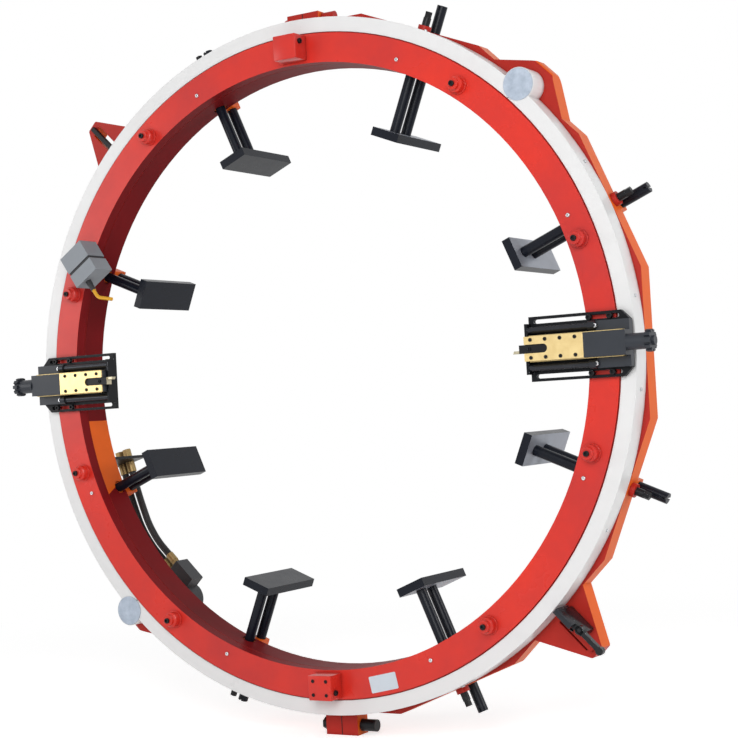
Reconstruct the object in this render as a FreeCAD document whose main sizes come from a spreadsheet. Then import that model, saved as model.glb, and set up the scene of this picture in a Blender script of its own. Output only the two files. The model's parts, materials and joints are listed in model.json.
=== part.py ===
import FreeCAD, Part
import math
import os
import re
import Sketcher
from FreeCAD import Placement, Rotation, Vector

# Split frame pipe cutter: a static frame clamps the pipe, a split ring turns in front of it with two tool slides.
# The machine's axis is Y, with +Y backwards. X is right, Z is up, and the origin is on the axis in the ring's face.
# A piece that repeats round the axis is drawn once on the +X side, with X outwards from the axis, and then turned.

doc = FreeCAD.newDocument("SplitFramePipeCutter")
sizes = doc.addObject("Spreadsheet::Sheet", "sizes")
places = doc.addObject("Spreadsheet::Sheet", "places")
sheet_of = {}
sub_parts = {}


def write_cell(sheet, name, content):
    """One named cell at the end of a sheet."""
    row = 1 + sum(owner == sheet.Name for owner in sheet_of.values())
    sheet.set(f"A{row}", name)
    sheet.set(f"B{row}", content)
    sheet.setAlias(f"B{row}", name)
    sheet_of[name] = sheet.Name


def formula(text):
    """The same formula with each named value pointed at its sheet."""
    return re.sub(r"[a-z]\w*", lambda word: f"{sheet_of[word[0]]}.{word[0]}" if word[0] in sheet_of else word[0], text)


def set_sizes(**values):
    """Sizes that can be set by themselves, in millimetres, with counts and angles."""
    for name, value in values.items():
        write_cell(sizes, name, str(value))


def set_places(**formulas):
    """Sizes and places that follow from others."""
    for name, text in formulas.items():
        write_cell(places, name, "=" + formula(text))


def numbers(*names):
    """The present values of named sizes and places."""
    doc.recompute([sizes, places])
    return [float(doc.getObject(sheet_of[name]).get(name)) for name in names]


def bind(piece, **formulas):
    """Tie a piece's properties to the sheets."""
    for name, text in formulas.items():
        piece.setExpression(name, formula(text))


def put(piece, **base):
    """Tie a piece's position to the sheets."""
    for axis, text in base.items():
        piece.setExpression(f"Placement.Base.{axis}", formula(text))


def block(name, x, y, z):
    """A box between two planes on each axis."""
    piece = doc.addObject("Part::Box", name)
    bind(piece, Length=f"{x[1]} - ({x[0]})", Width=f"{y[1]} - ({y[0]})", Height=f"{z[1]} - ({z[0]})")
    put(piece, x=x[0], y=y[0], z=z[0])
    return piece


def turn_to(piece, across):
    """Lay a piece that stands on Z along the axis whose place is a pair, and say where it starts and ends."""
    spins = {"x": Rotation(Vector(0, 1, 0), 90), "y": Rotation(Vector(1, 0, 0), -90), "z": Rotation()}
    axis = next(letter for letter, place in across.items() if isinstance(place, tuple))
    piece.Placement = Placement(Vector(), spins[axis])
    start, end = across[axis]
    put(piece, **{**across, axis: start})
    bind(piece, Height=f"{end} - ({start})")
    return piece


def rod(name, radius, x="0", y="0", z="0"):
    """A cylinder along the axis whose place is a pair."""
    piece = doc.addObject("Part::Cylinder", name)
    bind(piece, Radius=radius)
    return turn_to(piece, {"x": x, "y": y, "z": z})


def cone(name, first_radius, last_radius, x="0", y="0", z="0"):
    """A cone along the axis whose place is a pair."""
    piece = doc.addObject("Part::Cone", name)
    bind(piece, Radius1=first_radius, Radius2=last_radius)
    return turn_to(piece, {"x": x, "y": y, "z": z})


def prism(name, sides, corner_radius, x="0", y="0", z="0"):
    """A regular prism along the axis whose place is a pair."""
    piece = doc.addObject("Part::Prism", name)
    bind(piece, Polygon=sides, Circumradius=corner_radius)
    return turn_to(piece, {"x": x, "y": y, "z": z})


def join(name, *pieces):
    """Pieces that are one solid."""
    piece = doc.addObject("Part::MultiFuse", name)
    piece.Shapes = list(pieces)
    piece.Refine = True
    return piece


def cut(name, base, *tools):
    """A piece with others taken away."""
    piece = doc.addObject("Part::Cut", name)
    piece.Base = base
    piece.Tool = tools[0] if len(tools) == 1 else join(name + "_tools", *tools)
    return piece


def overlap(name, *pieces):
    """What pieces have in common."""
    piece = doc.addObject("Part::MultiCommon", name)
    piece.Shapes = list(pieces)
    return piece


def together(name, *pieces):
    """Loose solids kept as one piece."""
    piece = doc.addObject("Part::Compound", name)
    piece.Links = list(pieces)
    return piece


def turned(name, source, angle):
    """A piece turned about the machine's axis, counterclockwise as seen from the front."""
    piece = together(name, source)
    piece.Placement = Placement(Vector(), Rotation(Vector(0, -1, 0), angle))
    return piece


def ring_of(name, source, angles):
    """A piece repeated round the machine's axis."""
    return together(name, *[turned(f"{name}_at_{count}", source, angle) for count, angle in enumerate(angles)])


def feature(name, shape):
    """A shape made by formula from the sheets' values."""
    piece = doc.addObject("Part::Feature", name)
    piece.Shape = shape
    return piece


def outline(body, role, corners):
    """A closed outline on one of a body's own planes, with each corner tied to the sheets."""
    sketch = body.newObject("Sketcher::SketchObject", body.Name + "_outline")
    plane = next(item for item in body.Origin.OriginFeatures if item.Role == role)
    sketch.AttachmentSupport = (plane, [""])
    sketch.MapMode = "FlatFace"
    count = len(corners)
    start = [Vector(math.cos(2 * math.pi * i / count), math.sin(2 * math.pi * i / count)) for i in range(count)]
    for index in range(count):
        sketch.addGeometry(Part.LineSegment(start[index], start[(index + 1) % count]))
    for index in range(count):
        sketch.addConstraint(Sketcher.Constraint("Coincident", (index - 1) % count, 2, index, 1))
    for index, corner in enumerate(corners):
        for kind, axis, text in (("DistanceX", -2, corner[0]), ("DistanceY", -1, corner[1])):
            if text == "0":
                sketch.addConstraint(Sketcher.Constraint("PointOnObject", index, 1, axis))
            else:
                tie = sketch.addConstraint(Sketcher.Constraint(kind, -1, 1, index, 1, 1.0))
                sketch.setExpression(f"Constraints[{tie}]", formula(text))
    return sketch


def revolved(name, corners, angle=360, left=False):
    """A profile of places along Y and radii, turned about its Y axis, as a whole or as the right or left half."""
    body = doc.addObject("PartDesign::Body", name)
    spin = body.newObject("PartDesign::Revolution", name + "_revolution")
    spin.Profile = outline(body, "YZ_Plane", corners)
    spin.ReferenceAxis = (spin.Profile[0], ["H_Axis"])
    spin.Angle = angle
    spin.Reversed = left
    body.Tip = spin
    return body


def plate(name, corners, front, back, corner_round=None, rounded_at=None):
    """An outline in the plane of the ring, from one place along Y to another, its corners at one X rounded."""
    body = doc.addObject("PartDesign::Body", name)
    pad = body.newObject("PartDesign::Pad", name + "_pad")
    pad.Profile = outline(body, "XZ_Plane", corners)
    pad.Reversed = True
    bind(pad, Length=f"{back} - ({front})")
    put(body, y=front)
    body.Tip = pad
    if corner_round:
        doc.recompute()
        (tip,) = numbers(rounded_at)
        edges = [f"Edge{index + 1}" for index, edge in enumerate(pad.Shape.Edges)
                 if math.isclose(edge.Length, pad.Length.Value) and math.isclose(edge.CenterOfMass.x, tip)]
        rounding = body.newObject("PartDesign::Fillet", name + "_rounding")
        rounding.Base = (pad, edges)
        bind(rounding, Radius=corner_round)
        body.Tip = rounding
    return body


def sub_part(label, piece):
    """Name a finished sub-part."""
    piece.Label = label
    sub_parts[label] = piece
    return piece


def both_halves(name, whole):
    """Split a piece at the plane X = 0 into its right and left halves."""
    for side, reach in (("right", ("0", "half_space")), ("left", ("-half_space", "0"))):
        space = block(f"{name}_{side}_space", x=reach, y=("-half_space", "half_space"), z=("-half_space", "half_space"))
        sub_part(f"{name}_{side}", overlap(f"{name}_{side}_solid", whole, space))


# Shared values. The pipe in the photograph is taken as 48 in. The ring's bore passes pipes up to 60 in.
set_sizes(
    pipe_radius=609.6,
    ring_bore_radius=780,
    half_space=1200,
    overrun=5,
    shaft_clearance=0.05,
    slide_clearance=0.3,
    leg_count=8,
)
leg_angles = [22.5 + 45 * count for count in range(8)]
roller_angles = [18, 54, 126, 162, 198, 234, 306, 342]
plug_angles = leg_angles
drive_angles = [45, 225]
lug_angles = [135, -45]
joint_angles = [90, 270]
slide_angles = {"right": 0, "left": 180}

# Rotating ring: a flat split ring of machined plate with a gear rim behind the guard.
set_sizes(
    ring_width=75,
    ring_depth=32,
    rim_front=8,
    rim_depth=22,
    gear_module=6,
    ring_teeth=290,
    pinion_teeth=10,
    pressure_angle=20,
    ring_addendum=3.5,
    pinion_addendum=5.5,
    root_clearance=1,
    backlash=1,
    roller_circle_radius=812,
    axle_radius=7,
)
set_places(
    ring_outer_radius="ring_bore_radius + ring_width",
    rim_back="rim_front + rim_depth",
    ring_pitch_radius="gear_module * ring_teeth / 2",
    pinion_pitch_radius="gear_module * pinion_teeth / 2",
    drive_circle_radius="ring_pitch_radius + pinion_pitch_radius",
    ring_tip_radius="ring_pitch_radius + ring_addendum",
    ring_root_radius="ring_pitch_radius - pinion_addendum - root_clearance",
    pinion_tip_radius="pinion_pitch_radius + pinion_addendum",
    pinion_root_radius="pinion_pitch_radius - ring_addendum - root_clearance",
    tooth_thickness="pi * gear_module / 2 - backlash / 2",
    axle_bore_radius="axle_radius + shaft_clearance",
)


def at_radius(radius, angle, y):
    """A point at a radius and an angle about the Y axis, in radians."""
    return Vector(radius * math.cos(angle), y, radius * math.sin(angle))


def half_gear_rim(name, first_angle):
    """The toothed band of one half: straight flanks, which such a large gear nearly has."""
    pitch, tip, root, thick, slope, teeth, front, depth, outer, lap = numbers(
        "ring_pitch_radius", "ring_tip_radius", "ring_root_radius", "tooth_thickness", "pressure_angle",
        "ring_teeth", "rim_front", "rim_depth", "ring_outer_radius", "overrun")
    step = 2 * math.pi / teeth
    first, last = math.radians(first_angle), math.radians(first_angle + 180)
    corners = [at_radius(root, first, front)]
    for tooth in range(int(teeth) // 2):
        middle = first + (tooth + 0.5) * step
        for radius, side in ((root, -1), (tip, -1), (tip, 1), (root, 1)):
            half = thick / 2 - (radius - pitch) * math.tan(math.radians(slope))
            corners.append(at_radius(radius, middle + side * half / radius, front))
    corners.append(at_radius(root, last, front))
    inner = outer - lap
    corners.append(at_radius(inner, last, front))
    corners.insert(0, at_radius(inner, first, front))
    bore = Part.Arc(corners[-1], at_radius(inner, (first + last) / 2, front), corners[0]).toShape()
    face = Part.Face(Part.Wire(Part.makePolygon(corners).Edges + [bore]))
    return feature(name, face.extrude(Vector(0, depth, 0)))


set_sizes(
    base_bolt_radius=4,
    base_bolt_depth=14,
    base_bolt_inner=790,
    base_bolt_outer=842,
    base_bolt_spread=65,
)
axle_hole = rod("axle_hole", "axle_bore_radius", x="roller_circle_radius", y=("-overrun", "ring_depth + overrun"))
base_bolt_holes = [rod(f"base_bolt_hole_{place}_{side}", "base_bolt_radius", x=f"base_bolt_{place}",
                       y=("-overrun", "base_bolt_depth"), z=f"{sign}base_bolt_spread")
                   for place in ("inner", "outer") for side, sign in (("up", ""), ("down", "-"))]
ring_holes = together("ring_holes", ring_of("axle_holes", axle_hole, roller_angles),
                      *[ring_of(f"{hole.Name}_pair", hole, slide_angles.values()) for hole in base_bolt_holes])
ring_profile = [("0", "ring_bore_radius"), ("0", "ring_outer_radius"), ("ring_depth", "ring_outer_radius"),
                ("ring_depth", "ring_bore_radius")]
for side, first_angle in (("right", -90), ("left", 90)):
    web = revolved(f"ring_web_{side}", ring_profile, angle=180, left=side == "left")
    rim = half_gear_rim(f"gear_rim_{side}", first_angle)
    sub_part(f"ring_half_{side}", cut(f"ring_{side}", join(f"ring_{side}_blank", web, rim), ring_holes))

# Bearing track: two ground half rings with a vee groove, on the frame's front. The rollers run inside it.
set_sizes(
    track_gap=2,
    track_depth=28,
    track_outer_radius=850,
    roller_radius=16.5,
    roller_crest_height=6,
    roller_width=22,
    roller_clearance=0.3,
)
set_places(
    track_front="ring_depth + track_gap",
    frame_front="track_front + track_depth",
    track_middle="(track_front + frame_front) / 2",
    track_land_radius="roller_circle_radius + roller_radius + roller_clearance",
    groove_depth="roller_crest_height + roller_clearance",
    groove_radius="track_land_radius + groove_depth",
    roller_front="track_middle - roller_width / 2",
    roller_back="track_middle + roller_width / 2",
    crest_radius="roller_radius + roller_crest_height",
)
track_profile = [("track_front", "track_outer_radius"), ("frame_front", "track_outer_radius"),
                 ("frame_front", "track_land_radius"), ("track_middle + groove_depth", "track_land_radius"),
                 ("track_middle", "groove_radius"), ("track_middle - groove_depth", "track_land_radius"),
                 ("track_front", "track_land_radius")]
for side in ("right", "left"):
    sub_part(f"bearing_track_{side}", revolved(f"track_{side}", track_profile, angle=180, left=side == "left"))

# Vee rollers on axles behind the ring, each under a stepped boss on the face that takes the axle's screw.
set_sizes(
    boss_flange_radius=22,
    boss_flange_height=8,
    boss_radius=19,
    boss_shoulder_height=30,
    boss_neck_radius=13.5,
    boss_neck_height=34,
    boss_height=56,
    axle_screw_height=6,
    axle_collar_radius=10,
)
roller = revolved("roller", [
    ("roller_front", "axle_bore_radius"), ("roller_front", "roller_radius"),
    ("track_middle - roller_crest_height", "roller_radius"), ("track_middle", "crest_radius"),
    ("track_middle + roller_crest_height", "roller_radius"), ("roller_back", "roller_radius"),
    ("roller_back", "axle_bore_radius")])
boss = revolved("boss", [
    ("0", "axle_bore_radius"), ("0", "boss_flange_radius"), ("-boss_flange_height", "boss_flange_radius"),
    ("-boss_flange_height", "boss_radius"), ("-boss_shoulder_height", "boss_radius"),
    ("-boss_neck_height", "boss_neck_radius"), ("-boss_height", "boss_neck_radius"),
    ("-boss_height", "axle_bore_radius")])
axle = revolved("axle", [
    ("-(boss_height + axle_screw_height)", "0"), ("-(boss_height + axle_screw_height)", "axle_radius"),
    ("ring_depth", "axle_radius"), ("ring_depth", "axle_collar_radius"), ("roller_front", "axle_collar_radius"),
    ("roller_front", "axle_radius"), ("roller_back", "axle_radius"), ("roller_back", "0")])
for name, master in (("track_rollers", roller), ("roller_bosses", boss), ("roller_axles", axle)):
    put(master, x="roller_circle_radius")
    sub_part(name, ring_of(name + "_ring", master, roller_angles))

# Silver plugs in the face between the bosses.
set_sizes(plug_radius=5, plug_height=3, plug_circle_radius=808)
plug = rod("plug", "plug_radius", x="plug_circle_radius", y=("-plug_height", "0"))
sub_part("face_plugs", ring_of("face_plugs_ring", plug, plug_angles))

# Ring joint clamps over the split: a splice plate with four screws and a raised block with a cross screw.
set_sizes(
    splice_half_width=32,
    splice_inner_margin=15,
    splice_outer_margin=2,
    splice_height=8,
    splice_screw_radius=5,
    splice_screw_height=3,
    splice_screw_spread=17,
    splice_screw_margin=12,
    clamp_block_gap=1,
    clamp_block_width=27,
    clamp_block_height=28,
    clamp_block_margin=6,
    cross_screw_radius=7,
    cross_screw_head=8,
    cross_screw_height=18,
)
set_places(
    splice_inner="ring_bore_radius + splice_inner_margin",
    splice_outer="ring_outer_radius - splice_outer_margin",
    clamp_block_start="splice_half_width + clamp_block_gap",
    clamp_block_end="clamp_block_start + clamp_block_width",
    clamp_block_inner="ring_bore_radius + clamp_block_margin",
    clamp_block_outer="ring_outer_radius - clamp_block_margin",
    cross_screw_circle="(clamp_block_inner + clamp_block_outer) / 2 + clamp_block_margin",
)
splice = block("splice", x=("splice_inner", "splice_outer"), y=("-splice_height", "0"),
               z=("-splice_half_width", "splice_half_width"))
clamp_block = block("clamp_block", x=("clamp_block_inner", "clamp_block_outer"), y=("-clamp_block_height", "0"),
                    z=("clamp_block_start", "clamp_block_end"))
clamp_set = together("clamp_set", splice, clamp_block)
sub_part("ring_joint_clamps", ring_of("ring_joint_clamps_ring", clamp_set, joint_angles))
splice_screws = [rod(f"splice_screw_{row}_{side}", "splice_screw_radius", x=place,
                     y=("-(splice_height + splice_screw_height)", "-splice_height"), z=f"{sign}splice_screw_spread")
                 for row, place in (("inner", "splice_inner + splice_screw_margin"),
                                    ("outer", "splice_outer - splice_screw_margin"))
                 for side, sign in (("up", ""), ("down", "-"))]
cross_screw = rod("cross_screw", "cross_screw_radius", x="cross_screw_circle", y="-cross_screw_height",
                  z=("clamp_block_end", "clamp_block_end + cross_screw_head"))
clamp_screws = ring_of("clamp_screws", together("clamp_screw_set", *splice_screws, cross_screw), joint_angles)

# Static frame: a sixteen-sided welded box ring with a plain bore and a lip that shields the rollers.
set_sizes(
    frame_depth=50,
    frame_wall=8,
    frame_sides=16,
    frame_flat_radius=896,
    top_joint_radius=926,
    bottom_joint_radius=958,
    joint_half_width=48,
)
set_places(
    frame_back="frame_front + frame_depth",
    frame_middle="(frame_front + frame_back) / 2",
    wall_outer_radius="ring_bore_radius + frame_wall",
    rim_inner_flat="frame_flat_radius - frame_wall",
)


def sixteen_sided(name, flat_radius, front, back):
    """A prism along the axis whose flats face the legs, the drives and the lugs."""
    piece = prism(name, "frame_sides", f"({flat_radius}) / cos(180 / frame_sides)", y=(front, back))
    (side_count,) = numbers("frame_sides")
    piece.Placement.Rotation = Rotation(Vector(0, -1, 0), 180 / side_count) * piece.Placement.Rotation
    return piece


frame_drum = sixteen_sided("frame_drum", "frame_flat_radius", "frame_front", "frame_back")
frame_lip = rod("frame_lip", "wall_outer_radius", y=("track_front", "frame_middle"))
cavity_drum = sixteen_sided("cavity_drum", "rim_inner_flat", "frame_front + frame_wall", "frame_back - frame_wall")
cavity_core = rod("cavity_core", "wall_outer_radius", y=("frame_front", "frame_back"))
frame_box = cut("frame_box", join("frame_blank", frame_drum, frame_lip), cut("cavity", cavity_drum, cavity_core))
top_joint = block("top_joint", x=("-joint_half_width", "joint_half_width"), y=("frame_front", "frame_back"),
                  z=("ring_bore_radius", "top_joint_radius"))
bottom_joint = block("bottom_joint", x=("-joint_half_width", "joint_half_width"), y=("frame_front", "frame_back"),
                     z=("-bottom_joint_radius", "-ring_bore_radius"))

# Brackets that carry the drives, and lugs with a radial slot that carry the tripper's rail.
set_sizes(
    bracket_base_half_width=120,
    bracket_tip_half_width=25,
    bracket_tip_radius=962,
    bracket_round=14,
    lug_base_half_width=95,
    lug_tip_half_width=18,
    lug_tip_radius=1030,
    lug_round=8,
    lug_slot_half_width=16,
    lug_slot_inner=912,
    lug_slot_outer=1006,
    lug_web=8,
)


def trapezoid(base, tip, tip_radius):
    """A trapezoid on a flat of the frame, with its foot in the frame's wall."""
    return [("rim_inner_flat", f"-{base}"), ("frame_flat_radius", f"-{base}"), (tip_radius, f"-{tip}"),
            (tip_radius, tip), ("frame_flat_radius", base), ("rim_inner_flat", base)]


bracket = plate("bracket", trapezoid("bracket_base_half_width", "bracket_tip_half_width", "bracket_tip_radius"),
                "frame_front", "frame_back", "bracket_round", "bracket_tip_radius")
lug = plate("lug", trapezoid("lug_base_half_width", "lug_tip_half_width", "lug_tip_radius"),
            "frame_front", "frame_back", "lug_round", "lug_tip_radius")
lug_slot = block("lug_slot", x=("lug_slot_inner", "lug_slot_outer"),
                 y=("frame_front - overrun", "frame_back + overrun"), z=("-lug_slot_half_width", "lug_slot_half_width"))
blind_slot = block("blind_slot", x=("lug_slot_inner", "lug_slot_outer"), y=("frame_front - overrun", "frame_back - lug_web"),
                   z=("-lug_slot_half_width", "lug_slot_half_width"))

# Legs: a pad with a jack tube in front and a keyed guide bar behind, in red guide blocks through the frame.
set_sizes(
    pad_half_width=40,
    pad_front=45,
    pad_back=270,
    pad_thickness=22,
    tube_radius=13.5,
    tube_end=815,
    jack_centre=90,
    bar_radius=13.5,
    bar_centre=146,
    bar_end=970,
    keyway_half_width=3,
    keyway_depth=3,
    keyway_margin=20,
    end_slot_half_width=2,
    end_slot_depth=12,
    jack_screw_radius=10,
    jack_screw_end=930,
    jack_drive_radius=9.8,
    jack_drive_length=15,
    jack_bottom_margin=8,
    nut_radius=17,
    nut_length=13,
    guide_half_width=24,
    guide_front=38,
    guide_back=172,
    guide_inner_radius=766,
    guide_outer_radius=897,
    sleeve_radius=18,
)
set_places(
    pad_outer="pipe_radius + pad_thickness",
    tube_bore_radius="tube_radius + shaft_clearance",
    bar_bore_radius="bar_radius + shaft_clearance",
    jack_bore_radius="jack_screw_radius + 2 * shaft_clearance",
    nut_bore_radius="jack_screw_radius + shaft_clearance",
    jack_bottom="pad_outer + jack_bottom_margin",
    nut_end="frame_flat_radius + nut_length",
)
pad = block("pad", x=("pipe_radius", "pad_outer"), y=("pad_front", "pad_back"), z=("-pad_half_width", "pad_half_width"))
jack_tube = rod("jack_tube", "tube_radius", x=("pad_outer", "tube_end"), y="jack_centre")
guide_bar = rod("guide_bar", "bar_radius", x=("pad_outer", "bar_end"), y="bar_centre")
jack_bore = rod("jack_bore", "jack_bore_radius", x=("jack_bottom", "tube_end + overrun"), y="jack_centre")
keyway = block("keyway", x=("pad_outer + keyway_margin", "bar_end - keyway_margin"),
               y=("bar_centre - bar_radius - overrun", "bar_centre - bar_radius + keyway_depth"),
               z=("-keyway_half_width", "keyway_half_width"))
end_slot = block("end_slot", x=("bar_end - end_slot_depth", "bar_end + overrun"),
                 y=("bar_centre - bar_radius - overrun", "bar_centre + bar_radius + overrun"),
                 z=("-end_slot_half_width", "end_slot_half_width"))
leg = cut("leg", join("leg_blank", pad, jack_tube, guide_bar), jack_bore, keyway, end_slot)
jack_shank = rod("jack_shank", "jack_screw_radius", x=("jack_bottom + shaft_clearance", "jack_screw_end"),
                 y="jack_centre")
jack_drive = prism("jack_drive", "6", "jack_drive_radius", x=("jack_screw_end", "jack_screw_end + jack_drive_length"),
                   y="jack_centre")
jack_screw = join("jack_screw", jack_shank, jack_drive)
for count, angle in enumerate(leg_angles, 1):
    sub_part(f"leg_{count}", turned(f"leg_solid_{count}", leg, angle))
    sub_part(f"jack_screw_{count}", turned(f"jack_screw_solid_{count}", jack_screw, angle))

nut = cut("nut", rod("nut_blank", "nut_radius", x=("frame_flat_radius", "nut_end"), y="jack_centre"),
          rod("nut_bore", "nut_bore_radius", x=("rim_inner_flat", "nut_end + overrun"), y="jack_centre"))
sub_part("jack_nuts", ring_of("jack_nuts_ring", nut, leg_angles))

guide_face = overlap("guide_face", block("guide_face_blank", x=("guide_inner_radius", "wall_outer_radius"),
                                         y=("guide_front", "frame_back"), z=("-guide_half_width", "guide_half_width")),
                     rod("guide_seat", "ring_bore_radius", y=("guide_front", "frame_back")))
guide_housing = block("guide_housing", x=("guide_inner_radius", "guide_outer_radius"), y=("frame_back", "guide_back"),
                      z=("-guide_half_width", "guide_half_width"))
sleeve = rod("sleeve", "sleeve_radius", x=("guide_inner_radius", "rim_inner_flat"), y="jack_centre")
tube_bore = rod("tube_bore", "tube_bore_radius", x=("guide_inner_radius - overrun", "rim_inner_flat + overrun"),
                y="jack_centre")
bar_bore = rod("bar_bore", "bar_bore_radius", x=("guide_inner_radius - overrun", "guide_outer_radius + overrun"),
               y="bar_centre")
guide = cut("guide", join("guide_blank", guide_face, guide_housing, sleeve), tube_bore, bar_bore)
sub_part("leg_guide_blocks", ring_of("leg_guide_blocks_ring", guide, leg_angles))

# Frame clamp bolts across the split: a large one under the machine and a smaller one on top, each with its nut.
set_sizes(
    bolt_shank_radius=10,
    washer_thickness=4,
    bottom_bolt_radius=16,
    bottom_bolt_length=40,
    bottom_bolt_margin=24,
    top_bolt_radius=12,
    top_bolt_length=33,
    top_bolt_margin=14,
    bolt_nut_length=14,
)
set_places(
    bottom_bolt_height="-(bottom_joint_radius - bottom_bolt_margin)",
    top_bolt_height="top_joint_radius - top_bolt_margin",
    bolt_seat="joint_half_width + washer_thickness",
)
bolt_holes = []
bolts = []
for end in ("bottom", "top"):
    height = f"{end}_bolt_height"
    shank = rod(f"{end}_shank", "bolt_shank_radius", x=("-bolt_seat", "bolt_seat + washer_thickness"),
                y="frame_middle", z=height)
    washers = [rod(f"{end}_washer_{side}", f"{end}_bolt_radius", x=reach, y="frame_middle", z=height)
               for side, reach in (("right", ("joint_half_width", "bolt_seat")),
                                   ("left", ("-bolt_seat", "-joint_half_width")))]
    head = rod(f"{end}_head", f"{end}_bolt_radius - slide_clearance", x=("bolt_seat", f"bolt_seat + {end}_bolt_length"),
               y="frame_middle", z=height)
    nut_piece = prism(f"{end}_nut", "6", f"{end}_bolt_radius", x=("-(bolt_seat + bolt_nut_length)", "-bolt_seat"),
                      y="frame_middle", z=height)
    bolts.append(join(f"{end}_bolt", shank, head, nut_piece, *washers))
    bolt_holes.append(rod(f"{end}_bolt_hole", "bolt_shank_radius",
                          x=("-(joint_half_width + overrun)", "joint_half_width + overrun"), y="frame_middle", z=height))
sub_part("frame_clamp_bolts", together("frame_clamp_bolts_pair", *bolts))

# Drives: a pinion on its shaft through the frame, and behind it a bearing housing with a hydraulic motor.
set_sizes(
    pinion_shaft_radius=12,
    pinion_shaft_grip=18,
    motor_flange_half_width=42,
    motor_flange_depth=12,
    bearing_housing_radius=38,
    bearing_housing_depth=36,
    motor_radius=52,
    motor_depth=90,
    motor_cover_radius=44,
    motor_cover_depth=35,
    port_block_inner=812,
    port_block_outer=886,
    port_block_reach=75,
    port_block_front=212,
    port_block_back=264,
    port_spread=13,
    port_centre=845,
    port_height=238,
    port_radius=9.3,
    port_depth=16,
    involute_share=0.45,
)
set_places(
    pinion_bore_radius="pinion_shaft_radius + shaft_clearance",
    pinion_shaft_end="frame_back + pinion_shaft_grip",
    bearing_housing_front="frame_back + motor_flange_depth",
    motor_front="bearing_housing_front + bearing_housing_depth",
    motor_back="motor_front + motor_depth",
)


def pinion_teeth_at(name, drive_angle):
    """Involute pinion teeth, turned so that a tooth space meets the ring's tooth at this drive."""
    pitch, tip, root, thick, slope, teeth, ring_count, front, depth, centre, share = numbers(
        "pinion_pitch_radius", "pinion_tip_radius", "pinion_root_radius", "tooth_thickness", "pressure_angle",
        "pinion_teeth", "ring_teeth", "rim_front", "rim_depth", "drive_circle_radius", "involute_share")
    base = pitch * math.cos(math.radians(slope))
    step = 2 * math.pi / teeth
    ring_place = drive_angle * ring_count / 360
    ring_offset = round(ring_place) - ring_place
    first_space = math.pi - ring_offset * step

    def half_angle(radius):
        involute = 0
        if radius > base:
            involute = math.tan(math.acos(base / radius)) - math.acos(base / radius)
        at_pitch = math.tan(math.radians(slope)) - math.radians(slope)
        return thick / (2 * pitch) + at_pitch - involute

    radii = [root, base, base + share * (tip - base), tip]
    corners = []
    for tooth in range(int(teeth)):
        middle = first_space + (tooth + 0.5) * step
        corners += [at_radius(radius, middle - half_angle(radius), front) for radius in radii]
        corners += [at_radius(radius, middle + half_angle(radius), front) for radius in reversed(radii)]
    face = Part.Face(Part.makePolygon(corners + corners[:1]))
    return feature(name, face.extrude(Vector(0, depth, 0)).translated(Vector(centre, 0, 0)))


pinion_shaft = rod("pinion_shaft", "pinion_shaft_radius", x="drive_circle_radius", y=("rim_front", "pinion_shaft_end"))
for place, angle in zip(("upper", "lower"), drive_angles):
    blank = join(f"pinion_{place}_blank", pinion_teeth_at(f"pinion_{place}_teeth", angle), pinion_shaft)
    sub_part(f"pinion_{place}", turned(f"pinion_{place}_solid", blank, angle))
shaft_hole = rod("shaft_hole", "pinion_bore_radius", x="drive_circle_radius", y=("frame_front - overrun", "frame_back + overrun"))

motor_flange = block("motor_flange", x=("drive_circle_radius - motor_flange_half_width",
                                        "drive_circle_radius + motor_flange_half_width"),
                     y=("frame_back", "bearing_housing_front"), z=("-motor_flange_half_width", "motor_flange_half_width"))
bearing_housing = rod("bearing_housing", "bearing_housing_radius", x="drive_circle_radius",
                      y=("bearing_housing_front", "motor_front"))
motor_body = rod("motor_body", "motor_radius", x="drive_circle_radius", y=("motor_front", "motor_back"))
motor_cover = rod("motor_cover", "motor_cover_radius", x="drive_circle_radius", y=("motor_back", "motor_back + motor_cover_depth"))
port_block = block("port_block", x=("port_block_inner", "port_block_outer"), y=("port_block_front", "port_block_back"),
                   z=("-port_block_reach", "0"))
motor_bore = rod("motor_bore", "pinion_bore_radius", x="drive_circle_radius",
                 y=("frame_back - overrun", "pinion_shaft_end + slide_clearance"))
ports = [rod(f"port_{side}", "port_radius", x=f"port_centre {sign} port_spread", y="port_height",
             z=("-(port_block_reach + overrun)", "-(port_block_reach - port_depth)"))
         for side, sign in (("outer", "+"), ("inner", "-"))]
motor = cut("motor", join("motor_blank", motor_flange, bearing_housing, motor_body, motor_cover, port_block),
            motor_bore, *ports)
for place, angle in zip(("upper", "lower"), drive_angles):
    sub_part(f"drive_motor_{place}", turned(f"drive_motor_{place}_solid", motor, angle))

# The finished frame: blank with brackets, lugs and joints, then bored for guides, screws, shafts and bolts.
frame_guide_hole = rod("frame_guide_hole", "sleeve_radius", x=("guide_inner_radius", "rim_inner_flat"), y="jack_centre")
frame_screw_hole = rod("frame_screw_hole", "nut_bore_radius", x=("guide_inner_radius", "nut_end"), y="jack_centre")
frame_blank = join("frame_solid", frame_box, top_joint, bottom_joint, ring_of("brackets", bracket, drive_angles),
                   ring_of("lugs", lug, lug_angles))
frame_bore = rod("frame_bore", "ring_bore_radius", y=("track_front - overrun", "frame_back + overrun"))
frame = cut("frame", frame_blank, frame_bore, ring_of("frame_guide_holes", frame_guide_hole, leg_angles),
            ring_of("frame_screw_holes", frame_screw_hole, leg_angles),
            ring_of("shaft_holes", shaft_hole, drive_angles), turned("through_slot", lug_slot, lug_angles[0]),
            turned("web_slot", blind_slot, lug_angles[1]), *bolt_holes)
both_halves("frame_half", frame)

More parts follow.
